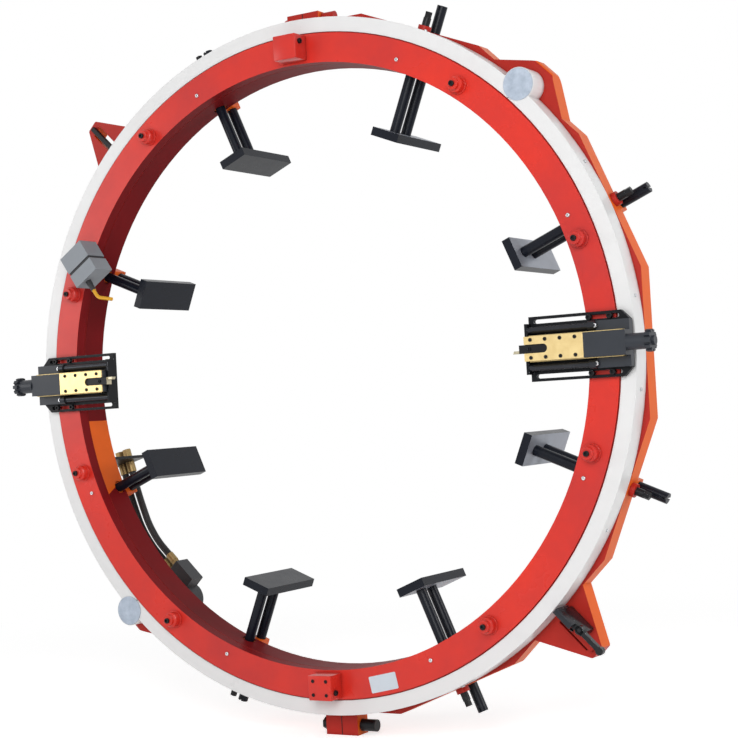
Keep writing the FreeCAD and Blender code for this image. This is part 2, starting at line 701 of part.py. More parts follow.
# Guard: white sheet over the gear rim, with a round bulge over each pinion.
set_sizes(
    guard_front=3,
    guard_sheet=3,
    guard_inner_radius=858,
    bulge_radius=41,
    cap_radius=39,
    cap_thickness=2,
    guard_screw_radius=4,
    guard_screw_height=3,
    guard_screw_place=32,
)
set_places(
    guard_outer_radius="frame_flat_radius",
    guard_cavity_front="guard_front + guard_sheet",
)
bulge = rod("bulge", "bulge_radius", x="drive_circle_radius", y=("guard_front", "frame_front"))
bulge_cavity = rod("bulge_cavity", "bulge_radius - guard_sheet", x="drive_circle_radius",
                   y=("guard_cavity_front", "frame_front + overrun"))
guard_drum = rod("guard_drum", "guard_outer_radius", y=("guard_front", "frame_front"))
guard_cavity = rod("guard_cavity", "guard_outer_radius - guard_sheet", y=("guard_cavity_front", "frame_front + overrun"))
guard_mouth = rod("guard_mouth", "guard_inner_radius", y=("guard_front - overrun", "guard_cavity_front + overrun"))
guard = cut("guard", join("guard_blank", guard_drum, ring_of("bulges", bulge, drive_angles)),
            guard_cavity, guard_mouth, ring_of("bulge_cavities", bulge_cavity, drive_angles))
both_halves("guard", guard)
cap = rod("cap", "cap_radius", x="drive_circle_radius", y=("guard_front - cap_thickness", "guard_front"))
sub_part("pinion_caps", ring_of("pinion_caps_ring", cap, drive_angles))
guard_screw = overlap("guard_screw", rod("guard_screw_blank", "guard_screw_radius", y="guard_screw_place",
                                         x=("guard_outer_radius - guard_sheet", "guard_outer_radius + guard_screw_height")),
                      cut("guard_screw_zone", rod("screw_zone_outer", "guard_outer_radius + guard_screw_height",
                                                  y=("guard_front", "frame_front")),
                          rod("screw_zone_inner", "guard_outer_radius", y=("guard_front", "frame_front"))))
guard_screw_angles = [7, 29, 65, 115, 151, 173, 187, 209, 245, 295, 331, 353]
sub_part("guard_screws", ring_of("guard_screws_ring", guard_screw, guard_screw_angles))

# Tool slide base: a slotted plate bolted on the ring, with an end plate at the pipe that carries the rods.
set_sizes(
    slide_inner_end=634,
    slide_outer_end=891,
    slide_half_width=77,
    slide_base_thickness=12,
    slide_chamfer=22,
    base_slot_half_width=5,
    base_slot_inner=652,
    base_slot_outer=860,
    end_plate_thickness=7,
    end_plate_half_width=60,
    end_plate_height=38,
)
set_sizes(
    tool_bar_half_width=10,
    tool_bar_low=35,
    tool_bar_high=55.7,
    tool_bar_inner=626,
    tool_bar_outer=735,
    channel_end=760,
    feed_screw_height=45,
    feed_screw_radius=5,
    feed_screw_inner=660,
    feed_bore_inner=640,
)
set_places(
    channel_half_width="tool_bar_half_width + slide_clearance",
    channel_floor="tool_bar_low - slide_clearance",
    cover_seat="tool_bar_high + slide_clearance",
    end_plate_outer="slide_inner_end + end_plate_thickness",
    feed_bore_radius="feed_screw_radius + shaft_clearance",
)
slide_plate = plate("slide_plate", [
    ("slide_inner_end", "-slide_half_width"), ("slide_outer_end - slide_chamfer", "-slide_half_width"),
    ("slide_outer_end", "-(slide_half_width - slide_chamfer)"), ("slide_outer_end", "slide_half_width - slide_chamfer"),
    ("slide_outer_end - slide_chamfer", "slide_half_width"), ("slide_inner_end", "slide_half_width")],
    "-slide_base_thickness", "0")
end_plate = block("end_plate", x=("slide_inner_end", "end_plate_outer"), y=("-end_plate_height", "-slide_base_thickness"),
                  z=("-end_plate_half_width", "end_plate_half_width"))
channel = block("channel", x=("slide_inner_end - overrun", "channel_end"), y=("-(cover_seat + overrun)", "-channel_floor"),
                z=("-channel_half_width", "channel_half_width"))
base_slots = []
for side, sign in (("up", ""), ("down", "-")):
    straight = block(f"base_slot_{side}", x=("base_slot_inner", "base_slot_outer"), y=("-(slide_base_thickness + overrun)", "overrun"),
                     z=(f"{sign}base_bolt_spread - base_slot_half_width", f"{sign}base_bolt_spread + base_slot_half_width"))
    ends = [rod(f"base_slot_{side}_{end}", "base_slot_half_width", x=f"base_slot_{end}",
                y=("-(slide_base_thickness + overrun)", "overrun"), z=f"{sign}base_bolt_spread") for end in ("inner", "outer")]
    base_slots.append(join(f"base_slot_{side}_whole", straight, *ends))
slide_base = cut("slide_base", join("slide_base_blank", slide_plate, end_plate), channel, *base_slots)
for side, angle in slide_angles.items():
    sub_part(f"slide_base_{side}", turned(f"slide_base_{side}_solid", slide_base, angle))

# Guide rods beside the housing, each with a clamp collar against the housing's flange.
set_sizes(
    rod_radius=8,
    rod_spread=44,
    rod_height=30,
    rod_end=795,
    collar_radius=12,
    collar_length=17,
)
set_places(collar_end="rod_end + collar_length")
rods = []
for side, sign in (("up", ""), ("down", "-")):
    bar = rod(f"rod_{side}", "rod_radius", x=("end_plate_outer", "rod_end"), y="-rod_height", z=f"{sign}rod_spread")
    collar = rod(f"collar_{side}", "collar_radius", x=("rod_end", "collar_end"), y="-rod_height", z=f"{sign}rod_spread")
    rods.append(join(f"rod_and_collar_{side}", bar, collar))
sub_part("slide_rods", ring_of("slide_rods_ring", together("rod_pair", *rods), slide_angles.values()))

# Slide housing: a channel for the tool bar, side flanges and the barrel that carries the feed screw.
set_sizes(
    housing_half_width=29,
    housing_outer_end=895,
    cover_thickness=4,
    cover_outer_end=791,
    flange_inner_edge=29,
    flange_outer_edge=55,
    flange_height=30,
    barrel_radius=19,
    barrel_end=942,
)
set_places(
    housing_height="cover_seat + cover_thickness",
    cover_start="end_plate_outer",
)
housing_block = block("housing_block", x=("end_plate_outer", "housing_outer_end"), y=("-housing_height", "-slide_base_thickness"),
                      z=("-housing_half_width", "housing_half_width"))
flanges = block("flanges", x=("collar_end", "housing_outer_end"), y=("-flange_height", "-slide_base_thickness"),
                z=("-flange_outer_edge", "flange_outer_edge"))
barrel = rod("barrel", "barrel_radius", x=("housing_outer_end", "barrel_end"), y="-feed_screw_height")
cover_recess = block("cover_recess", x=("end_plate_outer - overrun", "cover_outer_end"), y=("-(housing_height + overrun)", "-cover_seat"),
                     z=("-(housing_half_width + overrun)", "housing_half_width + overrun"))
feed_bore = rod("feed_bore", "feed_bore_radius", x=("channel_end - overrun", "barrel_end + overrun"), y="-feed_screw_height")
housing = cut("housing", join("housing_blank", housing_block, flanges, barrel), channel, cover_recess, feed_bore)
for side, angle in slide_angles.items():
    sub_part(f"slide_housing_{side}", turned(f"slide_housing_{side}_solid", housing, angle))

# Brass cover with a slot over the tool bar, and brass gib strips along the housing's sides.
set_sizes(
    cover_slot_end=690,
    gib_thickness=2,
    gib_inner=650,
    gib_outer=885,
    gib_low=32,
    gib_high=50,
    cover_screw_radius=4.5,
    cover_screw_height=2,
    cover_screw_spread=21,
    cover_screw_first=658,
    cover_screw_step=37.7,
    cover_screw_rows=4,
)
cover_plate = block("cover_plate", x=("cover_start", "cover_outer_end"), y=("-housing_height", "-cover_seat"),
                    z=("-housing_half_width", "housing_half_width"))
cover_slot = join("cover_slot", block("cover_slot_straight", x=("cover_start - overrun", "cover_slot_end"),
                                      y=("-(housing_height + overrun)", "-(cover_seat - overrun)"),
                                      z=("-channel_half_width", "channel_half_width")),
                  rod("cover_slot_round", "channel_half_width", x="cover_slot_end",
                      y=("-(housing_height + overrun)", "-(cover_seat - overrun)")))
gibs = [block(f"gib_{side}", x=("gib_inner", "gib_outer"), y=("-gib_high", "-gib_low"), z=reach)
        for side, reach in (("up", ("housing_half_width", "housing_half_width + gib_thickness")),
                            ("down", ("-(housing_half_width + gib_thickness)", "-housing_half_width")))]
brass = together("brass", cut("cover", cover_plate, cover_slot), *gibs)
for side, angle in slide_angles.items():
    sub_part(f"brass_cover_{side}", turned(f"brass_cover_{side}_solid", brass, angle))

# Screws on the ring: cover screws, base bolts in the slots, and the joint clamps' screws.
set_sizes(base_bolt_head_radius=7, base_bolt_head_height=8)
(row_count,) = numbers("cover_screw_rows")
slide_screws = [rod(f"cover_screw_{row}_{side}", "cover_screw_radius", x=f"cover_screw_first + {row} * cover_screw_step",
                    y=("-(housing_height + cover_screw_height)", "-housing_height"), z=f"{sign}cover_screw_spread")
                for row in range(int(row_count)) for side, sign in (("up", ""), ("down", "-"))]
for place in ("inner", "outer"):
    for side, sign in (("up", ""), ("down", "-")):
        name = f"base_bolt_{place}_{side}"
        head = rod(name + "_head", "base_bolt_head_radius", x=f"base_bolt_{place}", z=f"{sign}base_bolt_spread",
                   y=("-(slide_base_thickness + base_bolt_head_height)", "-slide_base_thickness"))
        shank = rod(name + "_shank", "base_bolt_radius", x=f"base_bolt_{place}", z=f"{sign}base_bolt_spread",
                    y=("-slide_base_thickness", "base_bolt_depth"))
        slide_screws.append(join(name, head, shank))
slide_screw_set = together("slide_screw_set", *slide_screws)
sub_part("ring_screws", together("ring_screws_all", ring_of("slide_screws", slide_screw_set, slide_angles.values()),
                                 clamp_screws))

# Tool bar with its carbide insert in a pocket of the nose, and a blind threaded bore for the feed screw.
set_sizes(
    insert_inner=608,
    insert_seat=632,
    insert_side=3,
    insert_low=38,
    insert_high=52,
)
tool_bar_blank = block("tool_bar_blank", x=("tool_bar_inner", "tool_bar_outer"), y=("-tool_bar_high", "-tool_bar_low"),
                       z=("-tool_bar_half_width", "tool_bar_half_width"))
insert_pocket = block("insert_pocket", x=("tool_bar_inner - overrun", "insert_seat"), y=("-insert_high", "-insert_low"),
                      z=("-(tool_bar_half_width + overrun)", "-insert_side"))
bar_feed_bore = rod("bar_feed_bore", "feed_bore_radius", x=("feed_bore_inner", "tool_bar_outer + overrun"),
                    y="-feed_screw_height")
insert = plate("insert", [("insert_inner", "-tool_bar_half_width"), ("insert_seat", "-tool_bar_half_width"),
                          ("insert_seat", "-insert_side"), ("insert_inner + insert_side", "-insert_side")],
               "-insert_high", "-insert_low")
tool_bar = together("tool_bar", cut("tool_bar_steel", tool_bar_blank, insert_pocket, bar_feed_bore), insert)
for side, angle in slide_angles.items():
    sub_part(f"tool_bar_{side}", turned(f"tool_bar_{side}_solid", tool_bar, angle))

# Star wheel: castellated, on the outer end of the feed screw.
set_sizes(
    star_radius=26,
    star_notch_depth=6,
    star_lobes=10,
    star_thickness=14,
    star_hub_radius=11,
    star_hub_length=6,
    lobe_share=0.56,
)
set_places(
    star_front="barrel_end + slide_clearance",
    star_back="star_front + star_thickness",
)


def castellated_disc(name):
    """A disc across X whose rim is square lobes and notches, centred on the feed screw."""
    radius, notch, lobes, thickness, share, start, height = numbers(
        "star_radius", "star_notch_depth", "star_lobes", "star_thickness", "lobe_share", "star_front",
        "feed_screw_height")
    step = 2 * math.pi / lobes
    corners = []
    for lobe in range(int(lobes)):
        half = share * step / 2
        middle = lobe * step
        narrow = half * radius / (radius - notch)
        for reach, angle in ((radius - notch, middle - narrow), (radius, middle - half),
                             (radius, middle + half), (radius - notch, middle + narrow)):
            corners.append(Vector(start, reach * math.cos(angle) - height, reach * math.sin(angle)))
    face = Part.Face(Part.makePolygon(corners + corners[:1]))
    return feature(name, face.extrude(Vector(thickness, 0, 0)))


feed_screw = rod("feed_screw", "feed_screw_radius", x=("feed_screw_inner", "star_back"), y="-feed_screw_height")
star_hub = rod("star_hub", "star_hub_radius", x=("star_back", "star_back + star_hub_length"), y="-feed_screw_height")
star_wheel = join("star_wheel", castellated_disc("star_disc"), feed_screw, star_hub)
for side, angle in slide_angles.items():
    sub_part(f"star_wheel_{side}", turned(f"star_wheel_{side}_solid", star_wheel, angle))

# Control box on a foot at the ring's left, turned about the Y axis and drawn round its own centre.
set_sizes(
    box_centre_x=-685,
    box_centre_z=325,
    box_angle=33,
    box_half_width=43,
    box_half_length=49.5,
    box_front=80,
    box_back=12,
    lid_edge=2,
    gasket_width=8,
    gasket_inset=2,
    foot_width=36,
    foot_length=35,
    foot_margin=4,
    gland_radius=7.5,
    gland_length=62,
    gland_height=52,
    gland_tip_length=7,
    valve_x=12,
    valve_height=60,
    fitting_radius=9,
    fitting_length=12,
    collar_sleeve_radius=7,
    collar_sleeve_length=20,
    nozzle_radius=5,
    nozzle_drop=24,
    nozzle_reach=36,
    nozzle_fall=34,
)
set_places(
    gasket_top="-lid_edge",
    gasket_bottom="-(lid_edge + gasket_width)",
    fitting_end="-(box_half_length + fitting_length)",
    sleeve_end="-(box_half_length + fitting_length + collar_sleeve_length)",
)


def tangent_arcs(points):
    """A path of straight runs with an arc at each point between them, and the arcs' radii."""
    edges, radii = [], []
    start = points[0]
    for before, corner, after in zip(points, points[1:], points[2:]):
        back, ahead = (before - corner), (after - corner)
        tangent = 0.45 * min(back.Length, ahead.Length)
        half_turn = (math.pi - back.getAngle(ahead)) / 2
        radii.append(tangent / math.tan(half_turn))
        first = corner + back.normalize() * tangent
        last = corner + ahead.normalize() * tangent
        bisector = (first + last) * 0.5 - corner
        sagitta_end = corner + bisector.normalize() * (radii[-1] / math.cos(half_turn) - radii[-1])
        edges.append(Part.LineSegment(start, first).toShape())
        edges.append(Part.Arc(first, sagitta_end, last).toShape())
        start = last
    edges.append(Part.LineSegment(start, points[-1]).toShape())
    return Part.Wire(edges), radii


def round_tube(name, points, radius):
    """A solid round tube along such a path, its volume compared with its section times its length."""
    path, radii = tangent_arcs(points)
    section = Part.Wire(Part.makeCircle(radius, points[0], points[1] - points[0]))
    tube = path.makePipeShell([section], True, False)
    share = tube.Volume / (math.pi * radius ** 2 * path.Length)
    print(name, "radii", [round(value, 1) for value in radii], "volume share", round(share, 4))
    return feature(name, tube)


def on_box_seat(name, piece):
    """A piece of the control box, turned and moved to its place on the ring."""
    holder = together(name, piece)
    (angle,) = numbers("box_angle")
    holder.Placement = Placement(Vector(), Rotation(Vector(0, -1, 0), angle))
    put(holder, x="box_centre_x", z="box_centre_z")
    return holder


box_body = block("box_body", x=("-box_half_width", "box_half_width"), y=("-box_front", "-box_back"),
                 z=("-box_half_length", "gasket_bottom"))
box_foot = block("box_foot", x=("-(box_half_width - foot_margin)", "-(box_half_width - foot_margin - foot_width)"),
                 y=("-box_back", "0"), z=("box_half_length - foot_margin - foot_length", "box_half_length - foot_margin"))
box_lid = block("box_lid", x=("-box_half_width", "box_half_width"), y=("-box_front", "-box_back"),
                z=("gasket_top", "box_half_length"))
gland = rod("gland", "gland_radius", x=("-box_half_width", "gland_length - box_half_width"), y="-gland_height",
            z="box_half_length + gland_radius")
gland_tip = rod("gland_tip", "gland_radius - gasket_inset", x=("gland_length - box_half_width",
                                                               "gland_length + gland_tip_length - box_half_width"),
                y="-gland_height", z="box_half_length + gland_radius")
gasket = block("gasket", x=("-(box_half_width - gasket_inset)", "box_half_width - gasket_inset"),
               y=("-(box_front - gasket_inset)", "-(box_back + gasket_inset)"), z=("gasket_bottom", "gasket_top"))
fitting = prism("fitting", "6", "fitting_radius", x="-valve_x", y="-valve_height", z=("fitting_end", "-box_half_length"))
valve_sleeve = rod("valve_sleeve", "collar_sleeve_radius", x="-valve_x", y="-valve_height", z=("sleeve_end", "fitting_end"))
valve_x, valve_height, sleeve_end, drop, reach, fall, nozzle_size = numbers(
    "valve_x", "valve_height", "sleeve_end", "nozzle_drop", "nozzle_reach", "nozzle_fall", "nozzle_radius")
nozzle_start = Vector(-valve_x, -valve_height, sleeve_end)
nozzle = round_tube("nozzle", [nozzle_start, nozzle_start + Vector(0, 0, -drop),
                               nozzle_start + Vector(reach, 0, -drop - fall)], nozzle_size)
sub_part("control_box", on_box_seat("control_box_solid", together("box_and_foot", box_body, box_foot)))
sub_part("control_box_lid", on_box_seat("control_box_lid_solid", together("lid_and_gland", box_lid, gland)))
sub_part("box_valve", on_box_seat("box_valve_solid", together("valve_set", gasket, gland_tip, fitting, valve_sleeve, nozzle)))

# Tripper on the lower right lug: a block with a square trip bar, pushed forward by a lever with a ball end.
set_sizes(
    trip_centre=30,
    trip_block_half_width=16,
    trip_block_inner=903,
    trip_block_outer=990,
    trip_block_front=24,
    trip_bar_inner=901,
    trip_bar_outer=958,
    trip_bar_half_width=12,
    trip_bar_front=14,
    trip_bar_back=10,
    trip_shank_radius=8,
    trip_shank_place=930,
    trip_shank_end=48,
    trip_nose_radius=4.5,
    trip_nose_height=3,
    trip_bore_margin=4,
    pivot_place=972,
    pivot_radius=5,
    lever_hub_radius=11,
    lever_arm_half_width=6,
    lever_ball_place=1040,
    lever_ball_radius=10,
    lever_back=20,
    lever_depth=14,
    rail_half_width=6,
    rail_depth=12,
    rail_inner=904,
    rail_outer=1018,
)
set_places(
    trip_nose_place="(star_front + star_back) / 2",
    trip_shank_bore="trip_shank_radius + shaft_clearance",
    pivot_bore="pivot_radius + shaft_clearance",
    lever_front="lever_back - lever_depth",
)
trip_mount = block("trip_mount", x=("trip_block_inner", "trip_block_outer"), y=("trip_block_front", "frame_front"),
                   z=("trip_centre - trip_block_half_width", "trip_centre + trip_block_half_width"))
pivot_pin = rod("pivot_pin", "pivot_radius", x="pivot_place", y=("lever_front - trip_nose_height", "trip_block_front"), z="trip_centre")
pivot_spacer = rod("pivot_spacer", "pivot_radius + trip_nose_height", x="pivot_place",
                   y=("lever_back + slide_clearance", "trip_block_front"), z="trip_centre")
shank_bore = rod("shank_bore", "trip_shank_bore", x="trip_shank_place", z="trip_centre",
                 y=("trip_block_front - overrun", "trip_shank_end + trip_bore_margin"))
sub_part("tripper_block", turned("tripper_block_solid", cut("trip_block", join("trip_block_blank", trip_mount, pivot_pin,
                                                                                pivot_spacer), shank_bore), lug_angles[1]))
trip_square = block("trip_square", x=("trip_bar_inner", "trip_bar_outer"), y=("-trip_bar_front", "trip_bar_back"),
                    z=("trip_centre - trip_bar_half_width", "trip_centre + trip_bar_half_width"))
trip_shank = rod("trip_shank", "trip_shank_radius", x="trip_shank_place", y=("trip_bar_back", "trip_shank_end"), z="trip_centre")
trip_nose = rod("trip_nose", "trip_nose_radius", x="trip_nose_place", z="trip_centre",
                y=("-(trip_bar_front + trip_nose_height)", "-trip_bar_front"))
sub_part("trip_bar", turned("trip_bar_solid", join("trip_bar_blank", trip_square, trip_shank, trip_nose), lug_angles[1]))
lever_hub = rod("lever_hub", "lever_hub_radius", x="pivot_place", y=("lever_front", "lever_back"), z="trip_centre")
lever_arm = block("lever_arm", x=("pivot_place", "lever_ball_place"), y=("lever_front", "lever_back"),
                  z=("trip_centre - lever_arm_half_width", "trip_centre + lever_arm_half_width"))
lever_ball = rod("lever_ball", "lever_ball_radius", x="lever_ball_place", y=("lever_front", "lever_back"), z="trip_centre")
lever_bore = rod("lever_bore", "pivot_bore", x="pivot_place", y=("lever_front - overrun", "lever_back + overrun"), z="trip_centre")
sub_part("trip_lever", turned("trip_lever_solid", cut("lever", join("lever_blank", lever_hub, lever_arm, lever_ball),
                                                       lever_bore), lug_angles[1]))
rail = block("rail", x=("rail_inner", "rail_outer"), y=("frame_front - rail_depth", "frame_front"),
             z=("-rail_half_width", "rail_half_width"))
sub_part("tripper_rails", ring_of("tripper_rails_ring", rail, lug_angles))

# Hydraulic hoses from the lower motor's ports to couplings in a bracket on the frame's back.
set_sizes(
    hose_radius=10,
    hose_fitting_radius=12,
    hose_fitting_length=42,
    hose_nut_length=16,
    spigot_length=14,
    coupling_bracket_inner=790,
    coupling_bracket_outer=886,
    coupling_bracket_half=4,
    coupling_outer=861,
    coupling_inner=833,
    coupling_length=34,
    coupling_tail=30,
    coupling_radius=13,
    coupling_tail_radius=9,
    coupling_angle=-29,
)
set_places(
    fitting_start="-(port_block_reach)",
    fitting_stop="-(port_block_reach + hose_fitting_length)",
    coupling_bracket_back="port_height + 2 * coupling_radius",
)
fittings = []
for side, sign in (("outer", "+"), ("inner", "-")):
    where = {"x": f"port_centre {sign} port_spread", "y": "port_height"}
    spigot = rod(f"spigot_{side}", "port_radius - shaft_clearance", z=("fitting_start", "fitting_start + spigot_length"), **where)
    hex_nut = prism(f"hex_nut_{side}", "6", "hose_fitting_radius", z=("fitting_start - hose_nut_length", "fitting_start"), **where)
    ferrule = rod(f"ferrule_{side}", "hose_fitting_radius - slide_clearance",
                  z=("fitting_stop", "fitting_start - hose_nut_length"), **where)
    fittings.append(join(f"fitting_{side}", spigot, hex_nut, ferrule))
coupling_bracket = block("coupling_bracket", x=("coupling_bracket_inner", "coupling_bracket_outer"),
                         y=("frame_back", "coupling_bracket_back"), z=("-coupling_bracket_half", "coupling_bracket_half"))
couplings = []
for side in ("outer", "inner"):
    where = {"x": f"coupling_{side}", "y": "port_height"}
    socket = rod(f"socket_{side}", "coupling_radius", z=("coupling_bracket_half", "coupling_length"), **where)
    neck = rod(f"neck_{side}", "coupling_tail_radius", z=("-coupling_bracket_half", "coupling_bracket_half"), **where)
    tail = prism(f"tail_{side}", "6", "coupling_tail_radius + coupling_bracket_half",
                 z=("-(coupling_bracket_half + coupling_tail)", "-coupling_bracket_half"), **where)
    couplings.append(join(f"coupling_{side}_whole", socket, neck, tail))
bracket_holes = [rod(f"bracket_hole_{side}", "coupling_tail_radius", x=f"coupling_{side}", y="port_height",
                     z=("-(coupling_bracket_half + overrun)", "coupling_bracket_half + overrun")) for side in ("outer", "inner")]
coupling_set = together("coupling_set", cut("coupling_plate", coupling_bracket, *bracket_holes), *couplings)
lower_drive = drive_angles[1]
(turn_of_couplings,) = numbers("coupling_angle")
sub_part("hose_couplings", together("hose_couplings_all", turned("port_fittings", together("fitting_pair", *fittings), lower_drive),
                                    turned("bulkhead_couplings", coupling_set, lower_drive + turn_of_couplings)))

hose_size, port_place, spread, height, stop, outer_place, inner_place, hose_end = numbers(
    "hose_radius", "port_centre", "port_spread", "port_height", "fitting_stop", "coupling_outer", "coupling_inner",
    "coupling_length")
hose_runs = {
    "outer": (port_place + spread, outer_place, [(858, -172), (845, -240), (809, -318)]),
    "inner": (port_place - spread, inner_place, [(832, -170), (819, -228), (784, -303)]),
}
hoses = []
for side, (start_place, end_place, middle_points) in hose_runs.items():
    to_bracket = Rotation(Vector(0, -1, 0), turn_of_couplings)
    last = to_bracket.multVec(Vector(end_place, height, hose_end))
    route = [Vector(start_place, height, stop)] + [Vector(x, height, z) for x, z in middle_points] + [last]
    hoses.append(round_tube(f"hose_{side}", route, hose_size))
sub_part("hydraulic_hoses", turned("hydraulic_hoses_pair", together("hose_pair", *hoses), lower_drive))

# Check every piece, then write each sub-part to its file.
doc.recompute()
for piece in doc.Objects:
    if "Invalid" in piece.State or "Error" in piece.State:
        raise RuntimeError(f"{piece.Label} failed: {piece.State}")
os.makedirs("parts", exist_ok=True)
for label, piece in sub_parts.items():
    shape = piece.Shape
    if shape.isNull() or not shape.isValid() or not shape.Solids:
        raise RuntimeError(f"{label} has no valid shape")
    shape.exportStep(f"parts/{label}.step")
print(len(sub_parts), "sub-parts")
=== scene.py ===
import bmesh
import bpy
import json
import math
from mathutils import Matrix, Vector


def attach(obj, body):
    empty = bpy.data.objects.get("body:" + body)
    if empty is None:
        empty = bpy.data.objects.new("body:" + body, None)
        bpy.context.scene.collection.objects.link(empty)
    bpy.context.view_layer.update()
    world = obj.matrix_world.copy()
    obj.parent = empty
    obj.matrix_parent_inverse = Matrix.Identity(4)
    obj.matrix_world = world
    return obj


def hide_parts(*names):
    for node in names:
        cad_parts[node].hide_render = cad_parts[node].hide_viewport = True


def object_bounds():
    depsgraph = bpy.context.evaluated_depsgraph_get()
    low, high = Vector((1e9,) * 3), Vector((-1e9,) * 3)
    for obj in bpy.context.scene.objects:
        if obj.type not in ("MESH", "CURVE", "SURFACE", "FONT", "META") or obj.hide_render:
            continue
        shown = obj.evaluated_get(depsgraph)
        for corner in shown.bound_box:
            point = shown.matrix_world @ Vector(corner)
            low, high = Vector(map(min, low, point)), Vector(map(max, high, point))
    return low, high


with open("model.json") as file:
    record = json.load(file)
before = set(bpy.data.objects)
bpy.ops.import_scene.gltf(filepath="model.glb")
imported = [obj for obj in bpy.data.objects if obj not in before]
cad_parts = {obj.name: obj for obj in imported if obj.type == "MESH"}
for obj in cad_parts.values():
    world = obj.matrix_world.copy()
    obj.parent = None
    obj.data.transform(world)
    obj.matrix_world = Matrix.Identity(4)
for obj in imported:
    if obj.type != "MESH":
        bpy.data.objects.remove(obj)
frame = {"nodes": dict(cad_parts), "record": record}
cad_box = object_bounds()

# Studio: the machine is seen from the front right at the height of its axis, on a white floor, with one large
# soft light in front, a smaller one on the right that whitens the outer faces of the frame and a weak one on the left.
PHOTO_PIXELS = 738
FOCAL_PIXELS = 1661.6
SENSOR_WIDTH = 36.0
CAMERA_PLACE = Vector((2.3265, -3.5930, -0.1256))
CAMERA_FORWARD = Vector((-0.51285, 0.85809, 0.0257)).normalized()
CAMERA_RIGHT = Vector((0.85626, 0.51345, -0.05647)).normalized()
AMBIENT = 0.30
STUDIO_LIGHTS = [("front_light", (1.6, -3.6, 1.1), (0, 0, 0), 2.2, 96),
                 ("side_light", (4.4, 1.1, 1.1), (0, 0, 0), 1.4, 58),
                 ("left_light", (-3.4, -2.4, 0.6), (-0.8, 0, 0), 1.6, 26)]
FLOOR_REACH = 9.0
FLOOR_WHITE = (0.93, 0.93, 0.93, 1)
FLOOR_ROUGHNESS = 0.9
FLOOR_GLOW = 0.53
FLOOR_FADE = (1.5, 3.4)

camera_data = bpy.data.cameras.new("photo_camera")
camera_data.sensor_width = SENSOR_WIDTH
camera_data.lens = FOCAL_PIXELS / PHOTO_PIXELS * SENSOR_WIDTH
camera = bpy.data.objects.new("photo_camera", camera_data)
camera_up = CAMERA_RIGHT.cross(CAMERA_FORWARD).normalized()
camera_axes = Matrix((CAMERA_FORWARD.cross(camera_up), camera_up, -CAMERA_FORWARD)).transposed()
camera.matrix_world = Matrix.Translation(CAMERA_PLACE) @ camera_axes.to_4x4()
bpy.context.scene.collection.objects.link(camera)
bpy.context.scene.camera = camera
bpy.context.scene.view_settings.view_transform = "Standard"

for name, place, target, width, power in STUDIO_LIGHTS:
    light_data = bpy.data.lights.new(name, "AREA")
    light_data.size = width
    light_data.energy = power
    light = bpy.data.objects.new(name, light_data)
    light.location = place
    light.rotation_euler = (Vector(target) - Vector(place)).to_track_quat("-Z", "Y").to_euler()
    bpy.context.scene.collection.objects.link(light)


def nodes_of(tree, *kinds):
    """New nodes of a tree, one for each kind."""
    return [tree.nodes.new(kind) for kind in kinds]


def math_node(tree, operation, first, second=None, clamp=False):
    """A math node fed by sockets or numbers."""
    node = tree.nodes.new("ShaderNodeMath")
    node.operation = operation
    node.use_clamp = clamp
    for socket, value in zip(node.inputs, (first, second)):
        if isinstance(value, (int, float)):
            socket.default_value = value
        elif value is not None:
            tree.links.new(value, socket)
    return node.outputs[0]


def white_where_seen(tree, shader, out, share=1.0):
    """White for the camera, reflections and glass, by a share, and the shader for all other light."""
    path, glow, mix = nodes_of(tree, "ShaderNodeLightPath", "ShaderNodeEmission", "ShaderNodeMixShader")
    seen = math_node(tree, "MAXIMUM", path.outputs["Is Camera Ray"], path.outputs["Is Glossy Ray"])
    seen = math_node(tree, "MAXIMUM", seen, path.outputs["Is Transmission Ray"])
    tree.links.new(math_node(tree, "MULTIPLY", seen, share), mix.inputs[0])
    tree.links.new(shader, mix.inputs[1])
    tree.links.new(glow.outputs[0], mix.inputs[2])
    tree.links.new(mix.outputs[0], out)
    return seen


world = bpy.data.worlds.new("studio")
bpy.context.scene.world = world
world.use_nodes = True
ambient = world.node_tree.nodes["Background"]
ambient.inputs["Color"].default_value = (1.0, 1.0, 1.0, 1)
ambient.inputs["Strength"].default_value = AMBIENT
white_where_seen(world.node_tree, ambient.outputs[0], world.node_tree.nodes["World Output"].inputs["Surface"])

floor_height = cad_box[0][2]
floor_mesh = bpy.data.meshes.new("floor")
floor_mesh.from_pydata([(x, y, floor_height) for x, y in (
    (-FLOOR_REACH, -FLOOR_REACH), (FLOOR_REACH, -FLOOR_REACH), (FLOOR_REACH, FLOOR_REACH),
    (-FLOOR_REACH, FLOOR_REACH))], [], [(0, 1, 2, 3)])
floor = bpy.data.objects.new("floor", floor_mesh)
bpy.context.scene.collection.objects.link(floor)
floor_paint = bpy.data.materials.new("studio_floor")
floor_paint.use_nodes = True
floor_tree = floor_paint.node_tree
floor_shader = floor_tree.nodes["Principled BSDF"]
floor_shader.inputs["Base Color"].default_value = FLOOR_WHITE
floor_shader.inputs["Roughness"].default_value = FLOOR_ROUGHNESS
floor_shader.inputs["Emission Color"].default_value = (1, 1, 1, 1)
place_on_floor, far = nodes_of(floor_tree, "ShaderNodeTexCoord", "ShaderNodeMapRange")
away = floor_tree.nodes.new("ShaderNodeVectorMath")
away.operation = "LENGTH"
floor_tree.links.new(place_on_floor.outputs["Object"], away.inputs[0])
floor_tree.links.new(away.outputs["Value"], far.inputs["Value"])
far.interpolation_type = "SMOOTHSTEP"
far.inputs["From Min"].default_value, far.inputs["From Max"].default_value = FLOOR_FADE
floor_seen = white_where_seen(floor_tree, floor_shader.outputs[0],
                              floor_tree.nodes["Material Output"].inputs["Surface"], far.outputs["Result"])
floor_tree.links.new(math_node(floor_tree, "MULTIPLY", floor_seen, FLOOR_GLOW),
                     floor_shader.inputs["Emission Strength"])
floor_mesh.materials.append(floor_paint)

